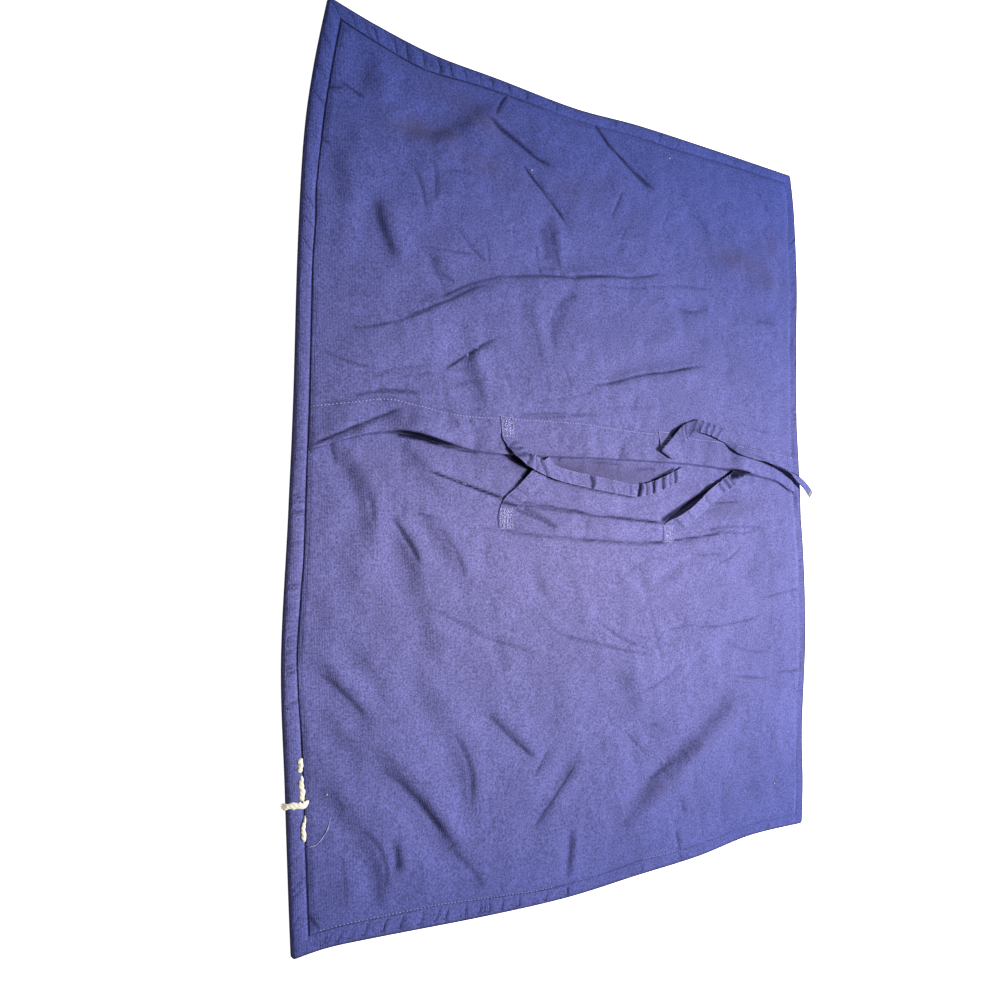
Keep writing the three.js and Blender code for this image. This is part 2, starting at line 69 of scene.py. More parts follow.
# Distances in from the edge between which the front's under side comes down, past the binding's turn under
# it, places up the sham where the upper panel comes down off the lower one, and distances above the hemmed
# edge over which the lower panel's folds run out under the upper one
FRONT_PINCH = (14, 22)
LAP_RAMP = (122, 150)
LOWER_COVERED = (4, 34)
# The slack of the back panels, how softly they come to rest, and how their height grows inwards from the
# binding's seam: a share of it, then the distances where that share starts and is full
LOWER_SLACK = 2.4
UPPER_SLACK = 1.9
SOFT_REST = 0.5
SEAM_RISES = ((0.42, 0.3, 5.5), (0.58, 3.5, 29.5))

# The meshes: samples of the curves in plan and along the ties, the grid's spacing where little shows, the
# shares of the usual spacing in each third from the left, which is nearest the camera, and on the lower
# panel up to where it is hidden, how much coarser the under skin is, and what counts as a sharp edge
CURVE_SAMPLES = 240
POINT_SAMPLES = 40
STATION_SAMPLES = 60
COARSE_GRID = 6
COLUMN_SHARES = (0.86, 1.0, 1.18)
LOWER_ROW_SHARE = 1.07
LOWER_SHOWN_Y = 44
UNDER_RATIO = 6
SHARP = math.radians(55)

# Each kind of unevenness draws its own noise. The first five values are added to the user's seed
HEM_SEED = 5
SEAM_SEEDS = (6, 7)
WRINKLE_LINE_SEEDS = (8, 9)
BINDING_SEED = 20
PINCHED_SEED = 30
GRIME_AND_SHADE_SEED = 7
TUCK_SEED = 31
WANDER_SEEDS = (60, 61)
FOLD_SEED = 62
CREASE_SEED = 63
THREAD_SEED = 64

# The outline as it lies: x, y of the corners, and of points along each edge between them
BOTTOM_LEFT = (-249, -327)
BOTTOM_RIGHT = (245.5, -324)
TOP_LEFT = (-234.5, 345)
TOP_RIGHT = (246.5, 328)
LEFT_EDGE = [
    (-251, -293), (-255, -215), (-259, -130), (-256, -30), (-254, 60), (-253, 150), (-250, 235), (-244, 290),
]
RIGHT_EDGE = [
    (248, -285), (248.5, -230), (256, -140), (255, -55), (249, 20), (248.5, 110), (253.5, 210), (251.5, 285),
]
BOTTOM_EDGE = [
    (-225, -325), (-190, -326.6), (-105, -332), (-30, -334.5), (40, -332), (110, -329.5), (175, -323),
]
TOP_EDGE = [(-198, 336), (-150, 328), (-95, 326), (-20, 323), (50, 327), (140, 328)]

# The hemmed edge of the upper panel: x, y from the left binding to the right one
HEM_EDGE = [
    (-241, 16), (-205, 28), (-175, 31), (-136, 24), (-93, 20),
    (0, 22), (100, 22), (167, 17), (212, 11), (235, 2),
]
# The line of stitches that holds the hem, in the same columns, and how far it lies inside the turned-in edge
HEM_SEAM = [
    (-241, 45), (-213, 50), (-188, 54.5), (-164, 51.5), (-131, 47.5), (-97, 48), (-54, 49), (-15, 49.5),
    (23, 47.5), (62, 46.5), (107, 45), (137, 44), (185, 40), (238, 35.5),
]
HEM_MARGIN = 1.4
# The hem's depth on average, how far in its edge is rounded, and how wide the step is where its turn-in ends
HEM_DEPTH = 28
HEM_ROUND = 1.0
HEM_STEP = 1.6
# How far above the middle the upper panel starts on average, the rows' spacing in the rounded edge, and
# where rows are close together, before and after the inner end of the hem, with their spacing
UPPER_START_Y = 16
HEM_ROUND_ROWS = 0.3
HEM_STEP_ROWS = (-9, 2, 0.85)
# The groove of the stitches, and the puckers beside it, which are drawn out across the hem
HEM_GROOVE = 0.35
HEM_GROOVE_HALF = 1.1
HEM_PUCKER = 0.16
HEM_PUCKER_CELL = 7
HEM_PUCKER_HALF = 7
HEM_PUCKER_DRAWN = 6
# Where the hemmed edge stands off the lower panel, and how far in that fades
HEM_LIFT_RUN = (3, 34)
HemLift = namedtuple("HemLift", "x half rise")
HEM_LIFTS = [HemLift(-158, 21, 5.0), HemLift(161, 12, 4.4)]

# The binding. Its seam wanders: the place along each edge, then how much wider the strip shows there. Tucks
# lie across the strip: their place along the edge, then how deep and dark they are
BINDING_WIDTH = 12.5
BINDING_WANDER = {
    "left": [(-325, -0.9), (-263, -1.0), (-181, -1.2), (-131, -3.0), (-65, -1.4), (18, -2.6), (107, -2.6),
             (149, -2.7), (181, -1.8), (204, -2.6), (240, -1.1), (295, -0.5), (342, -1.0)],
    "right": [(-320, -3.2), (-243, -4.2), (-120, -3.4), (60, -3.0), (200, -2.3), (240, 0.3), (262, 0.6),
              (285, -2.1), (328, -2.2)],
    "bottom": [(-243, -0.6), (-200, 0.6), (-140, 2.0), (-96, -0.1), (-57, -2.0), (0, -2.5), (43, -0.8),
               (80, -2.1), (243, -3.2)],
    "top": [(-236, -1.0), (-201, 1.3), (-165, 3.4), (-125, -0.6), (-67, -2.1), (37, -1.1), (85, 0.1),
            (159, -1.6), (245, -2.2)],
}
TUCKS = {
    "left": [(317, 0.4), (294, 0.4), (274, 0.9), (245, 0.4), (196, 0.7), (180, 0.5), (164, 0.9), (149, 0.4),
             (135, 0.4), (96, 0.3), (60, 0.4), (16, 0.5), (10, 0.4), (-16, 0.9), (-19, 0.5), (-28, 1.0),
             (-48, 0.5), (-78, 0.9), (-92, 0.3), (-114, 0.6), (-118, 0.5), (-123, 0.4), (-134, 0.6),
             (-138, 0.8), (-160, 0.5), (-169, 0.4), (-262, 0.5), (-281, 0.6), (-286, 0.4), (-304, 0.4)],
    "right": [(265, 1.0), (254, 0.8), (238, 0.7), (229, 0.9), (222, 0.6), (205, 0.8), (195, 0.6), (88, 0.4),
              (83, 0.3), (78, 0.4), (73, 0.3), (-30, 0.4), (-64, 0.4), (-72, 0.3)],
    "bottom": [(-231, 0.5), (-227, 0.4), (-220, 0.4), (-212, 0.5), (-209, 0.5), (-200, 0.5), (-187, 0.9),
               (-174, 0.6), (-159, 0.6), (-146, 0.7), (-138, 0.9), (-123, 1.0), (-110, 0.6), (-106, 0.5),
               (-102, 0.6), (-91, 0.7), (-76, 0.6), (-51, 0.5), (-31, 0.9), (46, 0.5), (90, 0.9),
               (200, 0.3)],
    "top": [(-219, 0.4), (-208, 0.5), (-200, 0.7), (-185, 0.6), (-175, 0.7), (-162, 0.7), (-149, 0.9),
            (-139, 0.9), (-126, 0.7), (-114, 0.4), (-102, 0.6), (-86, 0.8), (-69, 0.7), (-40, 0.4),
            (24, 0.4), (74, 0.5), (96, 0.5)],
}
# The tucks are grooves that slant and bend, with a line of painted shade that is this many half lines wide
TUCK_HALF = 1.3
TUCK_DEEP = 0.8
TUCK_DARK = 0.5
TUCK_REACH = 3
TUCK_SLANT = 0.25
TUCK_BEND = 1.4
TUCK_BEND_CELL = 6
# The small waves of the strip: slanted, bent and drawn out across it. Each has its size, height and seed
Swell = namedtuple("Swell", "cell high seed")
SWELLS = (Swell(9, 0.4, 40), Swell(18, 0.3, 50))
SWELL_SLANT = 0.3
SWELL_BEND = 2.5
SWELL_BEND_CELL = 30
SWELL_DRAWN = 5
WAVES_FROM_EDGE = (0.2, 3)
# The folded strip from its lip on the front, round the edge, to its lip on the back. z is a share of the
# height of the cloth that it covers, plus a share of the crown
Corner = namedtuple("Corner", "inset share lift")
BINDING_SECTION = table(Corner, [
    (12.4, 0.0, 0), (9.5, 0.0, 0), (6.5, 0.0, 0), (3.6, 0.0, 0), (1.7, 0.03, 0), (0.6, 0.16, 0),
    (0.05, 0.4, 0), (0.0, 0.66, 0), (0.25, 0.9, 0.08), (0.8, 1.0, 0.36), (1.7, 1.0, 0.66),
    (3.0, 1.0, 0.86), (4.6, 1.0, 0.97), (6.2, 1.0, 1.0), (7.8, 1.0, 0.98), (9.2, 1.0, 0.92),
    (10.4, 1.0, 0.82), (11.3, 1.0, 0.68), (12.0, 1.0, 0.52), (12.5, 1.0, 0.46),
])
# The spacing of the strip's mesh, the width turned in at its seams, and its mitred and rounded corners
BINDING_STEP = 1.2
MITRE_GAP = 0.1
CORNER_ROUND = 3
# Stations over which the strip bridges the cloth below it, in its middle and at its lip, and the shares of
# the width between which a flat lip sinks
BRIDGE = 12
LIP_BRIDGE = 3
LIP_SINKS = (0.5, 1)
# Painted shadow along the outer edge: how dark, how far it counts and where tucks begin, both in its widths
EDGE_SHADE_DARK = 0.92
EDGE_SHADE_REACH = 3
TUCKS_FROM_EDGE_SHADE = 2

# Folds lie along bowed lines. rise is the height on the line, step the height on the left of its run with
# an equal dip on the right, and half the distance at which they have fallen to about a third. A fold fades
# over a share of its length at each end, and the step's bend is scaled so that its peak is 1
Fold = namedtuple("Fold", "x1 y1 x2 y2 bow half rise step")
FOLD_FADE = 0.3
STEP_PEAK = 2.33
UPPER_FOLDS = table(Fold, [
    (2, 316, 66, 268, 3, 11, -1.5, 0.8), (-112, 296, -38, 264, -2, 11, -1.4, 0.8),
    (-74, 262, -22, 214, 2, 11, -0.9, 0.9), (-88, 312, -168, 254, 0, 15, -0.4, 2.2),
    (-120, 268, -186, 262, 0, 13, -0.9, 0.9), (-206, 326, -204, 276, 2, 13, -0.3, 1.4),
    (-226, 246, -222, 190, -3, 12, -0.3, 1.3), (-222, 100, 76, 198, 18, 13, -0.9, -1.5),
    (-146, 80, -88, 116, 2, 10, -0.9, -1.0), (-128, 124, -104, 50, -6, 13, -0.5, 1.9),
    (-8, 86, 130, 119, 3, 13, -0.7, -1.5), (-198, 210, -178, 152, -4, 12, -0.3, 1.7),
    (-50, 226, -44, 172, 2, 10, -0.3, 1.4), (-62, 172, -58, 96, -8, 10, -0.3, 0.8),
    (-12, 170, -42, 104, -10, 9, -0.2, 0.7), (-154, 176, -138, 136, 2, 8, -0.3, 1.1),
    (98, 262, 132, 240, 4, 10, -0.3, 1.0), (150, 173, 250, 176, -3, 13, -0.3, -1.1),
    (80, 168, 132, 172, -6, 10, -0.3, -0.9), (136, 224, 176, 226, -3, 12, -0.3, -0.8),
])
LOWER_FOLDS = table(Fold, [
    (-94, -30, 92, -42, -3, 12, 2.4, 0), (-118, -36, 156, -38, -13, 8, -1.2, 0),
    (-154, 5, -90, -14, 1, 8, -0.9, -0.8), (-248, -124, -192, -188, 3, 11, -0.5, 1.7),
    (-216, -172, -102, -314, 2, 12, -0.6, 2.3), (-236, -160, -192, -226, 2, 11, -0.3, 1.3),
    (-178, -130, -108, -276, 12, 13, -0.4, 1.6), (-222, -108, -180, -172, 3, 12, -0.3, 1.3),
    (-184, -22, -145, -152, 5, 13, -0.4, 1.6), (-232, 26, -199, -66, 10, 11, -0.4, 1.8),
    (-214, -22, -211, -106, 0, 11, -0.2, 1.2), (-182, 24, -132, -22, 0, 11, -0.3, 1.3),
    (-168, -22, -118, -88, 4, 10, -0.3, 1.5), (-244, -208, -185, -310, 13, 11, -0.5, 1.6),
    (-180, -256, -174, -290, 0, 7, -0.3, 1.2), (-118, -168, -54, -225, 1, 9, -0.7, 1.2),
    (-14, -217, -66, -279, 0, 9, -0.5, 1.2), (-26, -272, -32, -322, 0, 7, -0.4, 1.4),
    (6, -300, 178, -180, 4, 14, -0.6, -1.6), (-60, -101, 62, -149, -8, 9, -0.7, -0.5),
    (-162, -90, -58, -138, -3, 9, -0.6, 0.4), (20, -136, 42, -200, 0, 14, -0.3, 1.3),
    (-66, -64, -40, -98, -3, 7, -0.4, 0.7), (18, -70, 54, -106, 4, 7, -0.4, -0.6),
    (-22, -150, 38, -168, 2, 6, -0.4, 0.5), (-98, -118, -84, -152, 0, 6, -0.3, 0.6),
    (58, -86, 98, -70, -2, 6, -0.3, -0.6),
])

# Creases: narrow pinched lines in the same columns
UPPER_CREASES = table(Fold, [
    (3, 315, 21, 294, 0, 2.4, -2.0, 0.2), (14, 298, 66, 269, 2, 2.0, -1.7, 0.2),
    (-109, 293, -42, 265, -3, 1.9, -1.7, 0.2), (-85, 314, -98, 292, -1, 1.6, -1.3, 0),
    (-75, 262, -29, 217, 1, 1.9, -1.4, 0.2), (-143, 81, -92, 115, 1, 1.8, -1.2, -0.2),
    (-216, 103, -150, 130.5, -3.5, 1.6, -0.8, -0.2), (-178, 115.5, -102, 153.5, 1.5, 1.6, -0.9, -0.1),
    (-150, 136.5, -84, 165, 0.8, 1.6, -1.0, -0.1), (-104, 158, -18, 174, 2, 1.7, -1.0, -0.2),
    (-36, 171, 22, 183, 0, 2.4, -1.4, -0.3), (6, 180, 74, 196, -3, 2.0, -1.1, -0.2),
    (0, 171, 60, 179, -2, 1.6, -0.5, 0), (48, 178, 136, 189, 2, 1.6, -0.5, 0),
    (82, 168, 130, 173, -5, 2.2, -0.6, 0), (-10, 84, 60, 102, -2, 1.7, -0.8, -0.2),
    (28, 91, 126, 115, 2, 1.9, -1.2, -0.2), (28, 262, 16, 234, 0, 1.8, -0.8, 0),
    (84, 258, 72, 234, 0, 1.8, -0.4, 0), (38, 236, 24, 200, -2, 2.0, -0.4, 0),
    (100, 258, 132, 240, 5, 2.2, -0.5, 0), (196, 300, 210, 280, 0, 2.4, -0.5, 0),
    (-238, 86, -196, 77, -3, 1.6, -0.8, 0), (-200, 70, -160, 82, 2, 1.6, -0.4, 0),
    (-222, 52, -158, 62, 4, 1.7, -0.8, 0), (-248, 14, -174, 50, 1, 2.1, -1.8, 0.2),
    (-197, 202, -178, 158, -3, 3.0, -0.4, 0.2), (-169, 236, -157, 202, 2, 1.7, -0.7, 0),
    (-150, 240, -150, 212, 0, 2.2, -0.6, 0), (-148, 234, -122, 242, 0, 1.6, -0.4, 0),
    (-162, 173, -116, 177, 0, 1.6, -0.5, 0), (-158, 174, -140, 138, 2, 2.2, -0.5, 0.1),
    (-134, 198, -102, 170, -2, 2.0, -0.6, 0), (-106, 194, -102, 170, 0, 2.0, -0.6, 0),
    (-62, 196, -57, 166, 0, 1.7, -0.5, 0), (-43, 196, -36, 168, 0, 1.8, -0.5, 0),
    (-46, 212, -44, 186, 0, 3.0, -0.4, 0.1), (-38, 102, -28, 78, 2, 1.7, -0.5, 0),
    (-80, 52, 6, 58, 2, 1.6, -0.5, 0), (-60, 66, 2, 82, -2, 1.6, -0.4, 0),
    (-116, 80, -106, 54, 0, 3.2, -0.5, 0.2), (-136, 70, -112, 78, 0, 1.8, -0.5, 0),
    (-122, 276, -110, 264, 0, 1.8, -0.5, 0), (-226, 283, -206, 276, 0, 2.0, -0.9, 0),
    (-248, 273, -222, 278, 0, 1.8, -0.9, 0), (-150, 310, -138, 288, 0, 2.2, -0.4, 0),
    (-50, 312, -44, 290, 0, 2.0, -0.4, 0), (14, 70, 66, 72, -3, 1.6, -0.3, 0),
    (160, 68, 214, 58, -3, 1.8, -0.3, 0),
])
LOWER_CREASES = table(Fold, [
    (-158, 5, -86, -16, 0, 1.8, -1.9, -0.2), (-96, -13, 84, -33, -2, 2.2, -2.0, -1.0),
    (-88, -20, -38, -38, 0, 2.0, -0.8, 0), (-118, -36, -20, -47, -1, 2.0, -0.7, 0),
    (-52, -44, 80, -51, -1, 2.2, -1.0, 0), (56, -51, 146, -39, -1, 2.0, -0.9, 0),
    (-192, -206, -126, -279, 2, 3.6, -1.0, 0.5), (-136, -271, -104, -310, 0, 3.0, -0.6, 0.3),
    (-236, -136, -200, -174, 1, 2.6, -0.6, 0.3), (-183, -30, -160, -66, 1, 2.4, -0.9, 0.4),
    (-204, -8, -196, -36, 2, 3.0, -0.6, 0.3), (-230, 24, -223, 4, 0, 2.0, -0.7, 0),
    (-146, -38, -122, -78, 3, 2.6, -0.5, 0.2), (-166, -28, -140, -34, 1, 1.8, -0.5, 0),
    (-136, -184, -116, -250, 6, 2.8, -0.6, 0.3), (-206, -246, -186, -296, 8, 2.8, -0.7, 0.3),
    (-178, -262, -176, -284, 0, 2.8, -0.5, 0.2), (-218, -262, -212, -304, 0, 2.4, -0.5, 0),
    (-104, -180, -60, -220, 0, 2.4, -1.1, 0.2), (-47, -214, -61, -234, 0, 2.6, -1.0, 0),
    (-22, -229, -64, -274, 1, 2.2, -0.8, 0), (-27, -280, -32, -320, 0, 3.0, -0.9, 0.2),
    (-238, -299, -229, -313, 0, 1.8, -1.1, 0), (-60, -102, -34, -123, -2, 1.6, -0.6, 0),
    (-42, -120, 62, -148, -2, 1.6, -0.8, 0), (-6, -110, 58, -143, -4, 1.9, -0.6, 0),
    (-158, -93, -58, -137, -4, 1.6, -0.6, 0), (-80, -152, -42, -156, 0, 2.0, -0.3, 0),
    (-58, -80, -42, -102, 0, 2.0, -0.3, 0), (-104, -88, -92, -112, 0, 1.8, -0.3, 0),
    (52, -258, 84, -240, 2, 3.2, -0.6, -0.2), (26, -209, 51, -234, 0, 1.8, -0.6, 0),
    (55, -203, 74, -213, 0, 1.8, -0.6, 0), (83, -298, 90, -322, 0, 2.2, -0.9, 0),
    (86, -271, 91, -287, 0, 2.0, -0.6, 0), (132, -13, 168, -10, 0, 1.8, -0.7, 0),
    (118, -38, 200, -36, 3, 1.7, -0.7, 0), (104, -61, 146, -60, 0, 1.7, -0.5, 0),
    (134, -69, 168, -52, -3, 2.2, -0.5, 0), (188, -103, 250, -94, 0, 1.9, -0.5, 0),
    (72, -128, 108, -123, 0, 1.7, -0.4, 0), (104, -125, 190, -119, -4, 1.7, -0.5, 0),
    (138, -139, 200, -153, -5, 1.8, -0.5, 0), (42, -177, 94, -157, -3, 2.0, -0.5, 0),
    (158, -175, 204, -179, 0, 1.9, -0.6, 0), (206, -174, 250, -175, 0, 1.9, -0.6, 0),
    (18, -86, 62, -62, 3, 2.0, -0.3, 0), (0, -178, 30, -190, 0, 2.2, -0.3, 0),
    (93, -248, 86, -235, 0, 1.6, -0.6, 0.2), (98, -245, 90, -232, 1, 1.7, -0.8, 0.2),
    (102, -242, 94, -229, 0, 1.5, -0.5, 0.2), (107, -240, 98, -226, -1, 1.7, -0.8, 0.2),
    (111, -236, 103, -224, 0, 1.6, -0.6, 0.2),
])
# Folds are not drawn with a ruler: how far they wander, by the size of the bends, and how uneven they are
FOLD_WANDER = ((34, 1.7), (13, 0.3))
FOLD_UNEVEN = 0.45
FOLD_UNEVEN_CELL = 40
WANDER_START = (40, 90)
# A crease narrower than this half width is pinched, with a line sharper than a rounded one's power of 2
BROAD = 2.3
PINCH = 1.4
# The small wrinkles between the folds: their size, then their share of the crumple's height. The pinched
# ones have a sharp line where they cross the cloth's level
WRINKLES = ((62, 1.2), (27, 1.0), (12, 0.65), (6, 0.3))
PINCHED_WRINKLES = ((23, 1.1), (11, -0.6))
# Thin lines among them: depth, distance apart and thinness, and the size and level of the patches with them
WrinkleLines = namedtuple("WrinkleLines", "deep cell thin patch_cell patch_level")
WRINKLE_LINES = WrinkleLines(0.7, 48, 0.08, 85, 0.3)
Calm = namedtuple("Calm", "x y wide long less")
WRINKLED = 1.2
CALM = Calm(-150, -190, 110, 150, 0.4)
# Short gathers that run in from the binding's seam
SEAM_REACH = 16
SEAM_PUCKER = 0.5
SEAM_PUCKER_CELL = 8
SEAM_PUCKER_DRAWN = 4

# Painted shade where little light gets in: dark bands beside the ties and under the folds. A black band has
# crisp sides and the others fade. The hemmed edge gets painted shade over a strip this wide where lifted
# enough
Shade = namedtuple("Shade", "x1 y1 x2 y2 bow half dark")
SHADE_FADE = 0.12
BLACK = 0.9
CRISP_POWER = 4
LIFTED_EDGE = (0.7, 1.3)
LIFTED_ENOUGH = 2.2
SHADES = {
    "back_upper": table(Shade, [
        (-93.5, 36, -84, 20, -1, 2.2, 0.95), (64, 29, 94, 58.5, 0.5, 1.3, 0.95),
        (88, 56, 112, 61.5, 1.5, 1.0, 0.8), (64, 33, 73, 26, 0, 1.2, 0.9),
        (156, 39, 228, 19, 1.5, 1.3, 0.85), (-243, 17.5, -179, 47.5, 0.5, 1.1, 0.75),
        (-133, 44, -132, 37, 0, 1.3, 0.35), (-121, 46, -118, 39, 0, 1.2, 0.35),
        (-106, 47, -102, 41, 0, 1.2, 0.4), (-80, 50.5, -9, 57.5, -0.7, 0.9, 0.35),
        (-7, 56.5, 0, 50, 0, 1.0, 0.35), (165, 40.5, 201, 38, 1, 0.9, 0.35),
        (-121, 90, -109, 56, 3, 6.0, 0.25), (-121, 48, -108, 57, 0, 2.0, 0.3),
        (-196, 204, -181, 160, -3, 4.0, 0.3), (-54, 212, -49, 182, 1, 4.0, 0.35),
        (-151, 168, -144, 152, -1, 2.4, 0.4), (-145, 157, -132, 151, 0, 1.6, 0.35),
        (-58, 208, -49, 187, 0, 3.0, 0.3), (-19, 158, -44, 138, -4, 2.6, 0.25),
        (-44, 140, -40, 108, -2, 2.2, 0.25), (96, 165, 122, 170, -2, 1.5, 0.3),
        (-146, 262, -104, 304, 0, 7.0, 0.16), (192, 169, 219, 169, -1, 1.5, 0.25),
        (2, 315, 17, 296, 0, 1.4, 0.88), (14, 299, 60, 270, 1, 1.2, 0.85),
        (-34, 171, 40, 184, 2, 1.2, 0.65), (-104, 291, -60, 271, -1, 1.2, 0.8),
        (-234, 275, -225, 278, 0, 1.0, 0.7), (-220, 281, -209, 276, 0, 1.0, 0.7),
        (-240, 239, -232, 235, 0, 1.0, 0.6), (-141, 82.5, -95, 113.5, 0.8, 1.0, 0.6),
        (-237, 85, -198, 77, -2.5, 0.9, 0.5), (-200, 69.5, -184, 74.5, 0, 0.9, 0.3),
        (-177, 72, -150, 79, 0, 0.9, 0.3), (-131, 69.5, -104, 79.5, 0.8, 0.9, 0.35),
        (-216, 53, -160, 61, 3, 1.0, 0.45),
    ]),
    "back_lower": table(Shade, [
        (-85, 21, -63, 10.8, -1.5, 3.2, 0.97), (-65, 12, -74, 1, 0, 2.8, 0.97),
        (-70, 6, -92, -16, 0, 0.9, 0.8), (-62, 9.5, -38, 1.5, -0.5, 1.8, 0.9),
        (-50, 4, 46, -10.5, -2, 0.9, 0.75), (53, 1.5, 86, 18, 0.8, 1.4, 0.9),
        (66, -32, 118, -3.5, 0, 2.4, 0.9), (104, -12, 152, 14, 0, 1.8, 0.85),
        (-96, -17, 72, -32, -1.5, 1.4, 0.5), (-74, -20, -41, -38.5, 0, 2.4, 0.5),
        (40, -50.5, 146, -40, -1, 0.9, 0.85), (-34, -46.5, 60, -51, 0, 2.0, 0.35),
        (-90, -40.5, -30, -46.5, -0.5, 1.8, 0.25), (70.4, -33, 70.6, -50, 0, 0.8, 0.8),
        (-12, 19, 28, 17.6, 0, 1.0, 0.35), (40, 13, 64, 15.5, 1, 1.8, 0.35),
        (-35.5, 23.5, -38.5, 17, 0, 0.8, 0.8), (-41.5, 23, -39, 17.5, 0, 0.8, 0.35),
        (-182, 30, -143, 23.4, 1, 1.6, 1.0), (-150, 24.8, -110, 19.4, -0.6, 0.9, 0.85),
        (-213, 7, -196, -21, 0, 7.0, 0.2), (-178, 23, -155, 5, 0, 3.0, 0.22),
        (-147, -30, -135, -57, 0, 5.0, 0.14), (-228, 22, -223.5, 7, 0, 1.1, 0.5),
        (-150, 1.5, -88, -15, 0.6, 0.8, 0.65), (-184, -29, -159, -64, 1, 1.8, 0.35),
        (130, -13.5, 164, -11, 0.8, 0.9, 0.5), (124, -37.4, 164, -41, 0, 0.9, 0.4),
        (162, -41, 189, -36.5, -0.8, 0.9, 0.3), (147, 14, 163, 17, 0, 2.4, 0.95),
        (150, -200, 124, -222, 0, 4.0, 0.08), (128, -220, 104, -234, 0, 4.5, 0.16),
        (104, -231, 76, -243, 2, 5.5, 0.28), (78, -241, 54, -256, 0, 2.0, 0.45),
        (60, -251, 42, -272, 0, 5.0, 0.18), (46, -266, 28, -287, 0, 5.0, 0.12),
        (66, -241, 70, -251, 0, 1.6, 0.55), (53, -254, 68, -250, 0, 1.1, 0.5),
        (77, -247, 74, -235, 0, 1.4, 0.4), (82, -243, 97, -230, 0, 4.0, 0.3),
        (-187, -268, -187, -306, -4, 4.0, 0.25), (-219, -280, -214, -302, 0, 3.0, 0.22),
        (-136, -277, -127, -270, 0, 2.0, 0.35), (-114, -298, -110, -312, 0, 4.0, 0.2),
        (-241, -290, -237.5, -309, 0, 0.8, 0.6),
    ]),
    "tie.lower.left": table(Shade, [(-96, -17, -73, -21.5, 0, 1.5, 0.8)]),
    "tie.lower.right": table(Shade, [(149.5, 13, 163.5, 15, 0, 3.8, 1.0)]),
    "tie.upper.right": table(Shade, [(221, 22.4, 247, 16, 0.5, 1.4, 0.9)]),
}

# The painted shade at the bottom of a crease: its half width, how it fades at its ends, the depth that makes
# it black, how black it can be, and how its darkness varies along it
CREASE_HALF = 1.1
CREASE_FADE = 0.16
CREASE_FULL_DEPTH = 1.6
CREASE_DARKEST = 0.92
CREASE_LEVEL = 0.95
CREASE_UNEVEN = 0.5
CREASE_UNEVEN_CELL = 15
CREASE_SPAN = (0.5, 1.2)
# Painted shade lines under the hemmed edge and in the binding's seam, and where they run out, in half widths
LINE_HALF = 0.75
LINE_REACH = (2.4, 4.0)
# How far in from the binding's seam its line lies
GROOVE_INSET = 0.4
# The painted shadow line under the hem: its shift, half width and darkness, each on a flat hem and what a
# full lift adds
UNDER_HEM_SHADOW = ((0.4, 0.5), (0.8, 0.5), (0.42, 0.58))
FULL_LIFT = 4
# How dark the painted shade in the binding's seam is: the place along each edge, then the share of the full
# darkness
GROOVE_SHADES = {
    "left": [(-325, 0.75), (-180, 0.9), (150, 0.9), (342, 0.75)],
    "right": [(-320, 0.5), (-255, 0.4), (-235, 0.0), (328, 0.0)],
    "bottom": [(-243, 0.3), (-220, 0.5), (-150, 0.3), (-100, 0.5), (-40, 0.55), (-20, 0.2), (10, 0.4),
               (60, 0.2), (243, 0.1)],
    "top": [(-236, 0.2), (-225, 0.7), (-150, 0.7), (-70, 0.5), (-40, 0.15), (30, 0.2), (70, 0.4),
            (245, 0.3)],
}
# Brownish patches, partly grime and partly painted shade under the hem and along folds: the middle, half
# length and half width of each patch, its heading in degrees and its strength
Patch = namedtuple("Patch", "x y long wide heading strength")
GRIME_AND_SHADE = table(Patch, [
    (-10, 10, 80, 11, -4, 0.75), (-185, 8, 45, 10, 8, 0.18), (98, -236, 62, 11, 33, 0.12),
    (60, -258, 30, 9, 30, 0.15), (196, 214, 40, 14, -8, 0.35), (150, 226, 40, 10, 0, 0.25),
    (150, -18, 60, 9, 4, 0.3), (-120, 290, 40, 12, -20, 0.3), (-162, 264, 26, 9, 6, 0.5),
    (-110, 250, 36, 10, -10, 0.2), (-20, 250, 36, 10, 20, 0.2), (216, 248, 20, 16, 0, 0.25),
])
# How uneven the grime and painted shade are, and over what distance
GRIME_AND_SHADE_UNEVEN = 0.5
GRIME_AND_SHADE_CELL = 14

# The ties, station by station along their middle line. across is the heading of the width in degrees, and
# lift_a and lift_b raise the edges at its far and near end above the cloth that the station lies on. fold
# is the share of the width that is left where the tie is folded along its length
Station = namedtuple("Station", "x y across lift_a lift_b on fold", defaults=(1.0,))
TIE_WIDTHS = {
    "tie_upper_left": 11.0, "tie_lower_left": 13.2, "tie_upper_right": 13.2, "tie_lower_right": 13.2,
}
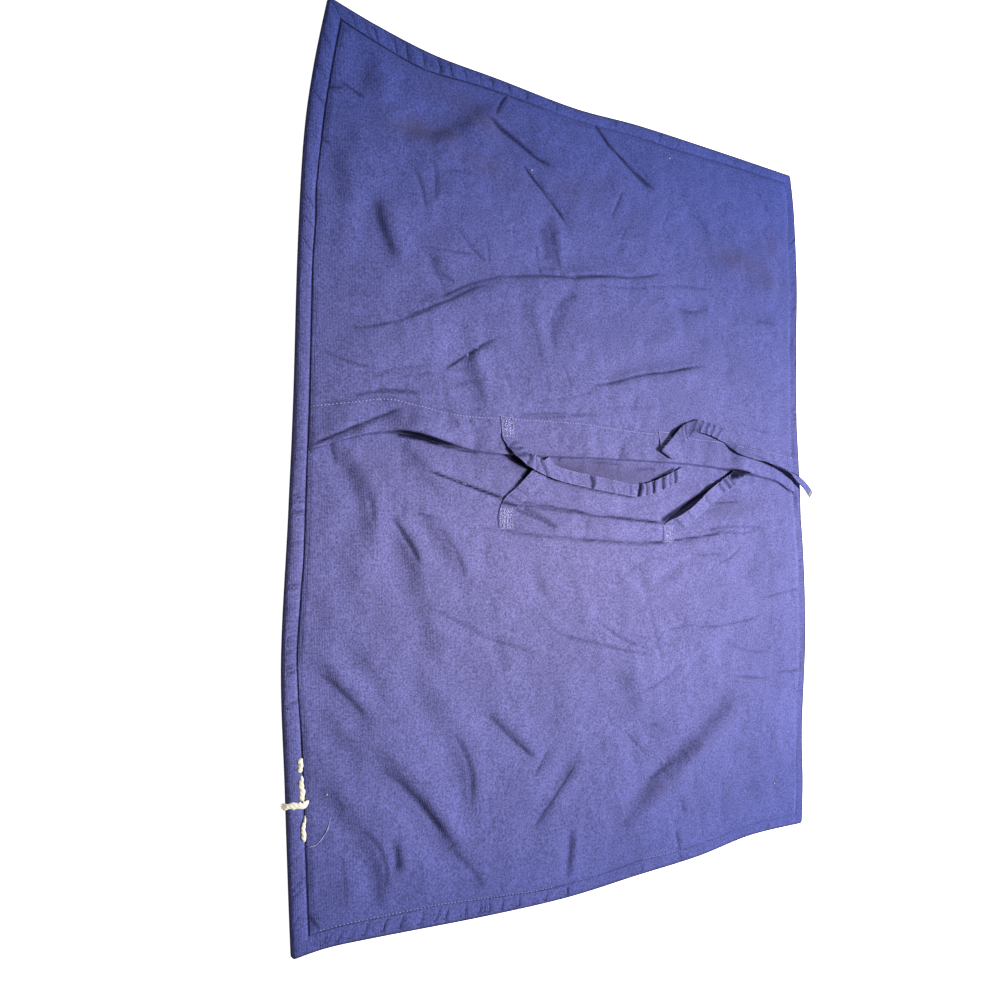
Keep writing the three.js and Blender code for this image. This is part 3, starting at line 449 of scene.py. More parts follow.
# How bare the fibres of a tie's last rows are, and how much painted shade a tie gets as it goes in under the
# hem, with the distances from the hemmed edge between which it darkens
WORN_END = {"tie_upper_right": 0.9}
WORN_ROWS = 6
UNDER_HEM = {"tie_lower_right": 0.95}
HEM_SHADE = (-6.5, -2.5)
TIES = {
    "tie_upper_left": table(Station, [
        (-88.5, 48, 0, 0.3, 0.3, "upper"), (-88.5, 39, 0, 0.3, 0.3, "upper"),
        (-88, 32, 6, 0.5, 0.8, "upper"), (-81.5, 24.5, 32, 1.2, 3.0, "upper"),
        (-73.5, 18.5, 50, 2.4, 4.4, "upper"), (-64, 14, 60, 4.2, 5.2, "lower"),
        (-53, 10, 66, 3.6, 4.0, "lower"), (-39, 6.4, 72, 2.0, 2.4, "lower"),
        (-22, 3.7, 80, 0.7, 1.2, "lower"), (0, 0.6, 82, 0.5, 0.7, "lower"),
        (20, -2, 83, 0.5, 0.6, "lower"), (38, -4, 88, 0.5, 0.6, "lower"),
        (50, -3, 102, 0.7, 0.5, "lower"), (64, 1, 112, 1.0, 0.4, "lower"),
        (80, 7.5, 114, 1.5, 0.4, "lower"), (95, 14, 114, 0.8, 0.4, "lower"),
    ]),
    "tie_lower_left": table(Station, [
        (-88.5, -36, 180, 0.3, 0.3, "lower"), (-88.5, -26, 178, 0.3, 0.3, "lower"),
        (-84, -17.5, 146, 0.3, 0.3, "lower"), (-77, -12, 130, 0.3, 0.3, "lower"),
        (-69, -4.5, 132, 0.6, 0.3, "lower"), (-61.5, 3.5, 134, 2.0, 0.4, "lower"),
        (-54, 10, 130, 1.6, 0.4, "lower"), (-45, 15, 124, 0.5, 0.4, "lower"),
    ]),
    "tie_upper_right": table(Station, [
        (71.5, 48.5, 0, 0.3, 0.3, "upper"), (71.5, 40, 0, 0.3, 0.3, "upper"),
        (71, 33, -8, 0.3, 0.3, "upper"), (70.4, 29.8, -24, 0.4, 0.4, "upper"),
        (70, 28, -30, 1.2, 1.2, "upper"), (70.6, 29.6, -34, 2, 2, "upper"),
        (75, 33.4, -44, 1.8, 2.1, "upper"), (82.5, 39.8, -46, 1.1, 1.8, "upper"),
        (90, 46.5, -52, 0.8, 1.2, "upper"), (96, 51, -72, 1.4, 0.6, "upper"),
        (102.5, 54.8, -98, 2.2, 0.5, "upper"), (110.5, 57, -105, 4.0, 0.6, "upper"),
        (120.5, 56, -110, 4.4, 0.5, "upper"), (131, 54.3, -116, 3.6, 0.5, "upper"),
        (141, 51.3, -122, 2.4, 0.5, "upper"), (148, 47.3, -128, 2.2, 0.5, "upper", 0.85),
        (153, 41.3, -130, 2.8, 0.4, "upper", 0.7), (160.3, 36.2, -118, 4, 0.4, "upper", 0.6),
        (169.3, 33.9, -103, 5, 0.4, "upper", 0.6), (181, 32.2, -99, 6, 0.4, "upper", 0.6),
        (190.4, 30.7, -102, 6.8, 0.4, "upper", 0.6), (199.7, 28, -107, 7.4, 0.4, "upper", 0.6),
        (211, 24.5, -107, 8.2, 0.4, "upper", 0.6), (222.5, 21.2, -106, 7.9, 0.4, "upper", 0.6),
        (234, 17.6, -112, 5.4, 0.6, "upper", 0.6), (242, 14, -128, 2.6, 0.6, "rim", 0.6),
        (250.5, 9, -131, 1.6, 0.6, "rim", 0.6), (258.5, 2.5, -134, 1.2, 0.5, "rim", 0.6),
        (262, -1, -134, 0.9, 0.5, "rim", 0.6),
    ]),
    "tie_lower_right": table(Station, [
        (77, -47.5, 180, 0.3, 0.3, "lower"), (77, -39.5, 178, 0.3, 0.3, "lower"),
        (79.5, -34.8, 156, 0.8, 0.3, "lower"), (89.5, -31, 128, 2.4, 0.4, "lower"),
        (101, -24.6, 124, 3.6, 0.4, "lower"), (115, -14.8, 126, 3.6, 0.4, "lower"),
        (127.5, -5.2, 124, 3.2, 0.4, "lower"), (140, 2, 124, 2.6, 0.4, "lower"),
        (152, 8.8, 126, 1.8, 0.4, "lower"), (161, 14.8, 130, 0.8, 0.4, "lower"),
        (167, 21, 132, 0.4, 0.4, "lower"), (172, 26.5, 132, 0.4, 0.4, "lower"),
    ]),
}

# Puckers across the ties: the distance along the tie, half width, depth and slant of each
Pucker = namedtuple("Pucker", "run half depth slant")
PUCKERS = {
    "tie_upper_left": table(Pucker, [
        (20, 1.6, 0.7, 0.3), (26, 1.8, 1.2, -0.5), (33, 2.4, 1.6, -0.9), (40, 1.6, 1.2, 0.3),
        (47, 1.5, 0.5, 0.6), (55, 1.8, 0.9, 1.0), (76, 1.2, 0.3, 0.8), (84, 1.0, 0.3, 0.5),
        (106, 1.4, 1.2, 0.1), (126, 1.2, 0.3, 0.2), (146, 1.2, 0.5, 0.2), (156, 1.7, 1.8, -0.2),
        (164, 1.3, 0.8, -0.2), (172, 1.5, 1.5, -0.3), (184, 1.4, 1.4, -0.3), (192, 1.2, 0.6, -0.3),
        (199, 1.4, 1.2, -0.4),
    ]),
    "tie_lower_left": table(Pucker, [(24, 1.4, 0.5, 0.3), (33, 1.4, 0.4, 0.3), (62, 1.5, 0.9, 0.4)]),
    "tie_upper_right": table(Pucker, [
        (46, 1.6, 0.5, 0.4), (51, 1.4, 0.9, 0.6), (57, 1.4, 0.8, 0.3), (68, 1.4, 0.5, 0.5),
        (76, 1.5, 0.9, 0.4), (84, 1.5, 0.9, 0.4), (92, 1.5, 0.9, 0.3), (100, 1.5, 0.7, 0.3),
        (122, 1.8, 0.4, 0.2),
    ]),
    "tie_lower_right": table(Pucker, [
        (21, 1.5, 0.6, 0.3), (36, 1.4, 0.4, 0.2), (62, 1.4, 0.5, 0.3), (84, 1.5, 0.9, 0.3),
        (92, 1.5, 1.1, 0.3), (99, 1.5, 0.9, 0.3),
    ]),
}
# A pucker's sharp valley bends, has a low ridge beside it, shows less on the under side and gets painted
# shade
PUCKER_PINCH = 1.5
PUCKER_BEND = 1.2
PUCKER_BEND_CELL = 5
PUCKER_UNDER = 0.8
PUCKER_DARK = 0.6
PUCKER_DARKEST = 0.6
Ridge = namedtuple("Ridge", "high away half")
PUCKER_RIDGE = Ridge(0.35, 2.6, 1.6)
# The mesh of a tie, its square edges, the groove of its seams in shares of its half width, and its waves
TIE_STEP = 0.7
TIE_ACROSS = 15
TIE_EDGE = 0.25
TIE_SQUARE = 6
TIE_GROOVE = 0.22
TIE_GROOVE_AT = 0.76
TIE_GROOVE_HALF = 0.09
TIE_WAVE = 0.3
TIE_WAVE_CELL = 8
TIE_WAVE_DRAWN = 3
# The sewn end is pressed flat and sunk up to the first distance along the tie, and the tie is free from the
# second one on. The last of the free end has no puckers
SEWN_END = (13, 24)
PRESSED = 0.45
SEWN_SINK = 0.2
FREE_END = 3
# Layers of cloth in the bound edge that a tie crosses
RIM_LAYERS = 2.5

# Stitches. Stretches of the binding's seam where they show: the edge's place in the list, and the shares of
# its length where they start and end
SEWN_STRETCHES = [(1, 0.2, 0.97), (3, 0.04, 0.42), (3, 0.6, 0.67)]
# Samples along the hem, the distance from the binding's seam, and how far stitches stand over the cloth
HEM_SAMPLES = 480
BESIDE_SEAM = 1.1
PROUD = 0.05
BOLD_PROUD = 0.1
# Shares of the usual stitch, and how much the stitches lean, in radians
HEM_STITCH_LENGTH = 0.8
SMALL_STITCH_LENGTH = 0.75
SMALL_STITCH_THICK = 0.7
BOX_STITCH_THICK = 1.15
LEAN = 0.12
BOX_LEAN = 0.5
# The columns and rows of a tie's mesh that its seams follow
TIE_SEAM_COLUMNS = (2, TIE_ACROSS - 3)
TIE_SEAM_ROWS = slice(24, -6)
# The boxes that hold the ties: their corners, tie and the share of the box that is filled with zigzag
Box = namedtuple("Box", "name x1 y1 x2 y2 tie filled")
BOXES = [
    Box("box_upper_left", -93.5, 34, -83.5, 49.5, "tie_upper_left", 0.8),
    Box("box_lower_left", -94, -38, -83, -23, "tie_lower_left", 0.95),
    Box("box_upper_right", 66, 36, 77, 49, "tie_upper_right", 0.15),
    Box("box_lower_right", 71.5, -48.5, 82.5, -34.5, "tie_lower_right", 0.55),
]
BOX_STITCH = 1.5
BOX_SAMPLES = 80
# The zigzag: the distances between its rows and its strokes, and how long and uneven a stroke is
ZIGZAG_ROWS = 1.0
ZIGZAG_PITCH = 3.0
ZIGZAG_LENGTH = 2.6
ZIGZAG_UNEVEN = 0.7
ZIGZAG_SAMPLES = 4
# How far the zigzag stays inside the box: left, right, bottom and top
ZIGZAG_MARGINS = (0.8, 2.5, 1, 0.5)

# Mending: the places of each thick stitch along the binding's seam and its thickness at both ends, as shares
# of the thread's, and the stitch over the edge, with x, y, a share of the binding's height and a rise
Stitch = namedtuple("Stitch", "path first last")
MENDING = [
    Stitch([(-245.4, -194.3), (-245.7, -198.5), (-246.2, -202), (-245.4, -204.4)], 1.1, 1.2),
    Stitch([(-244.5, -206), (-245, -212), (-244.1, -216.6), (-244.3, -224)], 1.0, 1.2),
    Stitch([(-241.7, -233.3), (-243, -240.4), (-242.8, -245.1), (-242, -251)], 0.6, 1.2),
]
MENDING_SAMPLES = 24
# A mending stitch lies at a share of the binding's crown, rises a share of its radius and dips at its ends
MENDING_OVER = 0.55
MENDING_RISE = 0.7
MENDING_DIP = 1.2
MENDING_DIP_POWER = 6
WRAPPED = Stitch([
    (-256.2, -224.6, 0, 1.2), (-257.2, -225, 0.5, 0), (-255.6, -225, 1, -0.2), (-251.5, -225, 1, 0.5),
    (-247.5, -225.5, 1, 0.6), (-243.4, -226, 1, 0.2), (-240.5, -224.8, 1, -0.8), (-239.2, -223.9, 1, -1.8),
], 1.3, 1.7)
# Where the binding's height is taken for it, and the spacing of its samples
WRAPPED_AT = (-250.0, -224.0)
WRAPPED_STEP = 0.6
# Thread is pressed flat as it lies, has this many sides, tapers at its ends, and is ragged: by how much, and
# over what distance along it and round it
THREAD_FLAT = 0.45
THREAD_SIDES = 12
THREAD_TIP = 0.15
THREAD_TAPER = 8
RAGGED = 0.35
RAGGED_CELL = 1.6
RAGGED_ROUND = 3
# A loose thread end and lint, which lie on the panels
LOOSE_THREAD = [(-224.4, -238), (-226.4, -244.7), (-230.5, -250.7), (-234.7, -254), (-239.5, -254.6)]
LOOSE_SAMPLES = 40
LOOSE_RADIUS = 0.22
LINT = [(83, 304), (-65, 256), (-228, -222), (204, -279)]
LINT_CURL = [(0, 0), (0.6, 0.5), (0.9, 1.2)]
LINT_RADIUS = 0.55
LOOSE_PROUD = 0.3

# Patterns of the materials, in millimetres. Real yarn is 0.35 mm apart, and is drawn wider so that it shows
YARN_MM = 1.1
SLUB_MM = 1.5
WASH_MM = 60
FUZZ_MM = 0.8
THREAD_PLY_MM = 0.6
MENDING_PLY_MM = 1.6
# A painted fall-off of light, lightest a little below the middle and to its left: the shift, scale and end
# of a round gradient
PAINTED_FALLOFF_SHIFT = (0.048, 0.13, 0.0)
PAINTED_FALLOFF_SCALE = (1.326, 2.212, 0.0)
PAINTED_FALLOFF_END = 1.44

# The stage, in metres and watts
FLOOR_REACH = 4.0
FLOOR_LEVEL = -0.0004
ROOM_LIGHT = (1.0, 0.94, 0.88, 1)
ROOM_STRENGTH = 0.24
KEY_PLACE = (1.45, -0.28, 1.25)
KEY_TARGET = (0.05, -0.02, 0.0)
KEY_SIZE = 0.3
KEY_POWER = 71
# The photograph's camera: where it is, and the headings of its right, up and back
CAMERA_PLACE = (-0.369, -0.0476, 0.5155)
CAMERA_RIGHT = (0.879627, 0.002571, 0.475657)
CAMERA_UP = (-0.028103, 0.998519, 0.046573)
CAMERA_BACK = (-0.474833, -0.054335, 0.878397)
CAMERA_LENS = 26.64
CAMERA_SENSOR = 36
CAMERA_NEAREST = 0.01


def linear(hex_colour):
    """Turn an sRGB hex value into linear red, green and blue."""
    shares = [int(hex_colour[i:i + 2], 16) / 255 for i in (0, 2, 4)]
    return tuple(s / 12.92 if s <= 0.04045 else ((s + 0.055) / 1.055) ** 2.4 for s in shares)


# Sizes and colours that a user would change
def length(name, description, default):
    """A length property in metres."""
    return FloatProperty(name=name, description=description, default=default, min=0, unit="LENGTH",
                         subtype="DISTANCE", precision=5)


def colour(name, description, hex_colour):
    """A colour property from an sRGB hex value."""
    return FloatVectorProperty(name=name, description=description, default=linear(hex_colour), min=0, max=1,
                               size=3, subtype="COLOR")


class ShamSizes(bpy.types.PropertyGroup):
    """Sizes of the cloth, the sewing and the meshes."""
    cloth: length("Cloth", "Thickness of one layer of the back", 0.0008)
    hem_extra: length("Hem turn-in", "Thickness that the hem's turned-in layer adds", 0.0009)
    crumple: length("Crumple", "Height of the small wrinkles between the placed folds", 0.0005)
    grid: length("Grid", "Spacing of the panels' mesh", 0.0014)
    binding_cloth: length("Binding cloth", "Thickness of the binding's cloth", 0.00035)
    binding_crown: length("Binding crown", "Height of the binding's middle over its cloth", 0.0019)
    tie_thick: length("Tie thickness", "Thickness of a tie's doubled cloth", 0.001)
    stitch_pitch: length("Stitch pitch", "Distance from one stitch to the next", 0.0027)
    stitch_length: length("Stitch length", "Length of a stitch on the cloth", 0.0019)
    stitch_thick: length("Stitch thickness", "Thickness of the sewing thread as it lies", 0.0005)
    mending_thick: length("Mending thread", "Thickness of the mending thread", 0.003)
    seed: IntProperty(name="Seed", description="Seed of the small wrinkles and stitches", default=11, min=0)


class ShamColours(bpy.types.PropertyGroup):
    """Colours of the cotton and of its threads."""
    # Painted fall-off of light: cotton is the colour where it is lightest, and the painted shade colour is
    # the one it darkens to, most towards the top
    cotton: colour("Cotton", "Cotton where it has faded most", "8881b6")
    cotton_painted_shade: colour("Deep cotton", "Cotton that kept its dye, towards the top", "3f4a8c")
    # The near-black of all painted shade: creases, gaps beside and under the ties, the lifted hemmed edge,
    # seams, tucks and the outer edge
    crease: colour("Crease", "Cotton at the bottom of a pinched crease", "0c0c2a")
    # The binding's colours at both ends of the same painted fall-off of light
    binding: colour("Binding", "Cotton of the binding where it has faded most", "8780b5")
    binding_deep: colour("Deep binding", "Cotton of the binding that kept its dye", "3e498b")
    thread: colour("Thread", "Sewing thread", "c6c3ee")
    # Brownish grey, partly grime and partly painted shade under the hem and along folds
    grime: colour("Grime", "Cotton that was handled and stored folded", "4d4664")
    worn: colour("Worn", "Bare fibres at the end of a tie", "8f8b84")
    mending: colour("Mending thread", "Thick mending thread", "efe9d6")
    floor: colour("Floor", "The surface that the sham lies on", "f7f7f5")


# Curves and patches in plan
def smooth(value, start, end):
    """A smooth ramp from 0 at start to 1 at end."""
    share = np.clip((value - start) / (end - start), 0, 1)
    return share * share * (3 - 2 * share)


def smooth_rows(rows, samples):
    """Rows of numbers that run smoothly through some rows, with a number of samples for each of them."""
    rows = np.array(rows, float)
    padded = np.vstack([rows[:1], rows, rows[-1:]])
    run = np.linspace(0, len(rows) - 1, samples * len(rows))
    span = np.minimum(run.astype(int), len(rows) - 2)
    share = (run - span)[:, None]
    before, start, end, after = (padded[span + k] for k in range(4))
    leave = (end - before) / 2
    arrive = (after - start) / 2
    fine = (2 * start - 2 * end + leave + arrive) * share ** 3
    fine += (3 * end - 3 * start - 2 * leave - arrive) * share ** 2 + leave * share + start
    return fine


def run_along(points):
    """Distance along a polyline at each of its points."""
    return np.concatenate([[0], np.cumsum(np.linalg.norm(np.diff(points, axis=0), axis=1))])


def respaced(rows, run, count):
    """Rows at evenly spaced distances, from their own distances along a line."""
    even = np.linspace(0, run[-1], count)
    return np.column_stack([np.interp(even, run, column) for column in rows.T])


def evenly(points, count):
    """The same polyline with evenly spaced points."""
    return respaced(points, run_along(points), count)


def curve_through(points, count=CURVE_SAMPLES):
    """Evenly spaced points on the smooth curve through some points."""
    return evenly(smooth_rows(points, POINT_SAMPLES), count)


def spline_rows(rows, step):
    """Smooth rows through some stations, about a step apart along their first three columns."""
    fine = smooth_rows(rows, STATION_SAMPLES)
    run = run_along(fine[:, :3])
    return respaced(fine, run, round(run[-1] / step) + 1)


def on_curve(curve, share):
    """The place at a share of the length of an evenly spaced curve."""
    steps = np.linspace(0, 1, len(curve))
    return np.stack([np.interp(share, steps, column) for column in curve.T], -1)


def patch(bounds, u, v):
    """Places in the patch that the bottom, top, left and right curves span."""
    bottom, top, left, right = bounds
    across = np.asarray(u)[..., None]
    up = np.asarray(v)[..., None]
    lowest = (1 - across) * bottom[0] + across * bottom[-1]
    highest = (1 - across) * top[0] + across * top[-1]
    lengthwise = (1 - up) * on_curve(bottom, u) + up * on_curve(top, u)
    crosswise = (1 - across) * on_curve(left, v) + across * on_curve(right, v)
    return lengthwise + crosswise - (1 - up) * lowest - up * highest


OUTLINE = (
    curve_through([BOTTOM_LEFT, *BOTTOM_EDGE, BOTTOM_RIGHT]),
    curve_through([TOP_LEFT, *TOP_EDGE, TOP_RIGHT]),
    curve_through([BOTTOM_LEFT, *LEFT_EDGE, TOP_LEFT]),
    curve_through([BOTTOM_RIGHT, *RIGHT_EDGE, TOP_RIGHT]),
)
HEM_LINE = curve_through(HEM_EDGE)
SEAM_LINE = curve_through(HEM_SEAM)


def lying(from_left, from_bottom):
    """Where a point of the cut sham, measured from its bottom left corner, lies."""
    from_left, from_bottom = np.broadcast_arrays(from_left, from_bottom)
    return patch(OUTLINE, from_left / SHAM_WIDTH, from_bottom / SHAM_LENGTH)


def edge_distances(x, y):
    """Distances in from the left, right, bottom and top edges."""
    bottom, top, left, right = OUTLINE
    return (x - np.interp(y, left[:, 1], left[:, 0]), np.interp(y, right[:, 1], right[:, 0]) - x,
            y - np.interp(x, bottom[:, 0], bottom[:, 1]), np.interp(x, top[:, 0], top[:, 1]) - y)


def edge_distance(x, y):
    """Distance in from the nearest edge."""
    return np.minimum.reduce(edge_distances(x, y))


def wander(side, along):
    """How much wider than usual the binding shows at places along an edge."""
    places, extra = zip(*sorted(BINDING_WANDER[side]))
    return np.interp(along, places, extra)


def seam_distances(x, y):
    """Distances in from the binding's seam at the left, right, bottom and top edges."""
    distances = zip(edge_distances(x, y), ("left", "right", "bottom", "top"), (y, y, x, x))
    return tuple(distance - BINDING_WIDTH - wander(side, along) for distance, side, along in distances)


def above_hem(x, y):
    """Distance up the sham from the hemmed edge."""
    return y - np.interp(x, HEM_LINE[:, 0], HEM_LINE[:, 1])


# Heights
def noise(x, y, cell, seed):
    """Smooth seeded noise from -1 to 1 with bumps about a cell apart."""
    draw = np.random.default_rng(seed)
    turn = draw.uniform(0, math.pi)
    size = int(1000 / cell) + 4
    lattice = draw.uniform(-1, 1, (size, size))
    u = (x * math.cos(turn) - y * math.sin(turn)) / cell + size / 2
    v = (x * math.sin(turn) + y * math.cos(turn)) / cell + size / 2
    i = np.clip(np.floor(u).astype(int), 0, size - 2)
    j = np.clip(np.floor(v).astype(int), 0, size - 2)
    su = smooth(u - i, 0, 1)
    sv = smooth(v - j, 0, 1)
    near = lattice[i, j] * (1 - su) + lattice[i + 1, j] * su
    far = lattice[i, j + 1] * (1 - su) + lattice[i + 1, j + 1] * su
    return near * (1 - sv) + far * sv


def wandered(x, y):
    """Places shifted a little, so that lines drawn straight in them wander, but not near the ties."""
    free = smooth(np.abs(y), *WANDER_START)
    for cell, far in FOLD_WANDER:
        up, across = (free * far * noise(x, y, cell, seed) for seed in WANDER_SEEDS)
        x, y = x + across, y + up
    return x, y


def fold_line(fold, x, y, fade=FOLD_FADE):
    """Distance to the left of a fold's bowed line, and a fade that runs out at its ends."""
    run = math.hypot(fold.x2 - fold.x1, fold.y2 - fold.y1)
    ux = (fold.x2 - fold.x1) / run
    uy = (fold.y2 - fold.y1) / run
    share = ((x - fold.x1) * ux + (y - fold.y1) * uy) / run
    aside = ux * (y - fold.y1) - uy * (x - fold.x1) - 4 * fold.bow * share * (1 - share)
    return aside, smooth(share, 0, fade) * (1 - smooth(share, 1 - fade, 1))


def fold_height(fold, x, y, power=2):
    """Height that one fold adds; power 2 rounds it and a lower one pinches its line."""
    aside, fade = fold_line(fold, x, y)
    reach = aside / fold.half
    rise = fold.rise * np.exp(-np.abs(reach) ** power)
    step = fold.step * STEP_PEAK * reach * np.exp(-reach ** 2)
    return fade * (rise + step)


def crumple(x, y, sizes):
    """The small wrinkles of cotton that was folded away, between the placed folds."""
    high = sizes.crumple / MM
    seed = sizes.seed
    line_seed, patch_seed = (seed + k for k in WRINKLE_LINE_SEEDS)
    waves = sum(share * noise(x, y, cell, seed + k) for k, (cell, share) in enumerate(WRINKLES))
    pinched = sum(share * np.abs(noise(x, y, cell, seed + PINCHED_SEED + k))
                  for k, (cell, share) in enumerate(PINCHED_WRINKLES))
    thin = noise(x, y, WRINKLE_LINES.cell, line_seed) / WRINKLE_LINES.thin
    lines = WRINKLE_LINES.deep * np.exp(-thin ** 2)
    patches = np.clip(noise(x, y, WRINKLE_LINES.patch_cell, patch_seed) + WRINKLE_LINES.patch_level, 0, 1)
    calm = np.exp(-((x - CALM.x) / CALM.wide) ** 2 - ((y - CALM.y) / CALM.long) ** 2)
    return high * (WRINKLED - CALM.less * calm) * (waves + pinched - lines * patches)


def seam_puckers(x, y, sizes):
    """Short gathers that run in from the seam of the binding."""
    left, right, bottom, top = seam_distances(x, y)
    gathers = 0
    for along, inward, seed in zip((y, x), (np.minimum(left, right), np.minimum(bottom, top)), SEAM_SEEDS):
        wave = noise(along, inward / SEAM_PUCKER_DRAWN, SEAM_PUCKER_CELL, sizes.seed + seed)
        gathers = gathers + wave * np.exp(-(inward / SEAM_REACH) ** 2)
    return SEAM_PUCKER * gathers


def relief(folds, creases, slack, x, y, sizes):
    """Height of a panel over what it lies on: its slack, folds, creases and crumple."""
    folded_x, folded_y = wandered(x, y)
    folded = sum(fold_height(fold, folded_x, folded_y) for fold in folds)
    for crease in creases:
        folded = folded + fold_height(crease, folded_x, folded_y, PINCH if crease.half < BROAD else 2)
    uneven = 1 + FOLD_UNEVEN * noise(x, y, FOLD_UNEVEN_CELL, FOLD_SEED)
    height = slack + crumple(x, y, sizes) + seam_puckers(x, y, sizes) + uneven * folded
    resting = (height + np.sqrt(height * height + SOFT_REST)) / 2
    inward = np.minimum.reduce(seam_distances(x, y))
    return resting * sum(share * smooth(inward, start, end) for share, start, end in SEAM_RISES)


def lower_sides(x, y, sizes):
    """Under and upper side of the lower panel."""
    shown = 1 - smooth(above_hem(x, y), *LOWER_COVERED)
    low = FRONT + CLEARANCE + shown * relief(LOWER_FOLDS, LOWER_CREASES, LOWER_SLACK, x, y, sizes)
    return low, low + sizes.cloth / MM


def hem_depth(x):
    """Depth of the hem, which was not turned in evenly."""
    return hem_seam(x) + HEM_MARGIN - np.interp(x, HEM_LINE[:, 0], HEM_LINE[:, 1])


def hem_seam(x):
    """Where the hem's line of stitches lies."""
    return np.interp(x, SEAM_LINE[:, 0], SEAM_LINE[:, 1])


def hem_lift(x):
    """How far the hemmed edge stands off the lower panel."""
    return sum(lift.rise * np.exp(-((x - lift.x) / lift.half) ** 2) for lift in HEM_LIFTS)


def upper_sides(x, y, sizes):
    """Under and upper side of the upper panel, with its hem."""
    above = above_hem(x, y)
    lapped = 1 - smooth(y, *LAP_RAMP)
    support = FRONT + lapped * (lower_sides(x, y, sizes)[1] - FRONT)
    lifted = hem_lift(x) * (1 - smooth(above, *HEM_LIFT_RUN))
    low = support + CLEARANCE + lifted + relief(UPPER_FOLDS, UPPER_CREASES, UPPER_SLACK, x, y, sizes)
    turn = above - hem_depth(x)
    hem = 1 - smooth(turn, -HEM_STEP / 2, HEM_STEP / 2)
    thick = sizes.cloth / MM + hem * sizes.hem_extra / MM
    from_seam = turn + HEM_MARGIN
    sewn = -HEM_GROOVE * np.exp(-(from_seam / HEM_GROOVE_HALF) ** 2)
    pucker = HEM_PUCKER * noise(x, y / HEM_PUCKER_DRAWN, HEM_PUCKER_CELL, sizes.seed + HEM_SEED)
    pucker = pucker * np.exp(-(from_seam / HEM_PUCKER_HALF) ** 2)
    turned = np.sqrt(np.clip(1 - (1 - np.clip(above, 0, HEM_ROUND) / HEM_ROUND) ** 2, 0, 1))
    middle = low + thick / 2
    high = middle + (thick / 2) * turned + (sewn + pucker) * turned
    return middle - (thick / 2) * turned, high


def rim_sides(x, y, sizes):
    """Under and upper side of whichever back panel is on top."""
    lower = lower_sides(x, y, sizes)
    upper = upper_sides(x, y, sizes)
    covered = above_hem(x, y) > 0
    return tuple(np.where(covered, over, under) for over, under in zip(upper, lower))


# Meshes
def rim_faces(fine, coarse):
    """Triangles of the wall between the upper rim and the under rim, which may have fewer corners."""
    ratio = (len(fine) - 1) // (len(coarse) - 1)
    faces = []
    for step in range(len(coarse) - 1):
        start, end = coarse[step], coarse[step + 1]
        top = fine[step * ratio:(step + 1) * ratio + 1]
        faces.append((start, end, top[-1]))
        faces.extend((start, top[k + 1], top[k]) for k in range(ratio))
    return faces


def rims(ids):
    """The four edges of a grid, one after the other round it."""
    return ids[0], ids[:, -1], ids[-1, ::-1], ids[::-1, 0]


def closed_sheet(name, top, under, material):
    """A closed mesh from the grids of its upper and under side, in millimetres."""
    corners = np.concatenate([top.reshape(-1, 3), under.reshape(-1, 3)]) * MM
    top_ids = np.arange(top.shape[0] * top.shape[1]).reshape(top.shape[:2])
    under_ids = top_ids.size + np.arange(under.shape[0] * under.shape[1]).reshape(under.shape[:2])
    faces = []
    for ids, turn in ((top_ids, 1), (under_ids, -1)):
        ring = [ids[:-1, :-1], ids[:-1, 1:], ids[1:, 1:], ids[1:, :-1]][::turn]
        faces.extend(np.stack(ring, -1).reshape(-1, 4).tolist())
    for fine, coarse in zip(rims(top_ids), rims(under_ids)):
        faces.extend(rim_faces(fine.tolist(), coarse.tolist()))
    return new_piece(name, corners.tolist(), faces, material)


def new_piece(name, corners, faces, material):
    """A smooth shaded mesh object at the origin."""
    mesh = bpy.data.meshes.new(name)
    mesh.from_pydata(corners, [], faces)
    mesh.validate()
    mesh.shade_smooth()
    mesh.set_sharp_from_angle(angle=SHARP)
    mesh.materials.append(material)
    piece = bpy.data.objects.new(name, mesh)
    bpy.context.scene.collection.objects.link(piece)
    return piece


def declare(piece, node=None):
    """Ride a piece on the sham, and hide the solid that it stands for."""
    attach(piece, BODY)
    if node:
        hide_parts(node)


def panel_shares(stretches, total):
    """Grid stations from 0 to 1 for stretches of end and spacing, a multiple of the under side's ratio."""
    runs = [np.array([0.0])]
    start = 0.0
    for end, spacing in stretches:
        steps = max(1, round((end - start) / spacing / UNDER_RATIO)) * UNDER_RATIO
        runs.append(np.linspace(start, end, steps + 1)[1:])
        start = end
    return np.concatenate(runs) / total


def panel(name, bounds, columns, rows, sides, sizes, material):
    """A panel as a fine upper skin and a coarser under skin that stays below it."""
    place = patch(bounds, *np.meshgrid(columns, rows))
    x, y = place[..., 0], place[..., 1]
    low, high = sides(x, y, sizes)
    lowest = low.copy()
    for shift in (-1, 1):
        for axis in (0, 1):
            lowest = np.minimum(lowest, np.roll(low, shift, axis))
    top = np.concatenate([place, high[..., None]], -1)
    under = np.concatenate([place, lowest[..., None]], -1)[::UNDER_RATIO, ::UNDER_RATIO]
    piece = closed_sheet(name, top, under, material)
    # Painted shade: lines under the hem and in the binding's seam, and the creases and narrow places
    reach, depth = seam_shade_lines(name, x, y)
    dark = shaded(name, x, y)
    both_sides = np.concatenate([dark.ravel(), dark[::UNDER_RATIO, ::UNDER_RATIO].ravel()])
    mark(piece, {"crease_reach": reach, "crease_depth": depth, "grime": grime(x, y), "shade": both_sides})
    return piece


def mark(piece, layers):
    """Give a sheet some named values for its material; an under side that is left out has none."""
    for label, values in layers.items():
        rest = len(piece.data.vertices) - values.size
        values = np.concatenate([values.ravel(), np.zeros(rest)])
        piece.data.attributes.new(label, "FLOAT", "POINT").data.foreach_set("value", values)


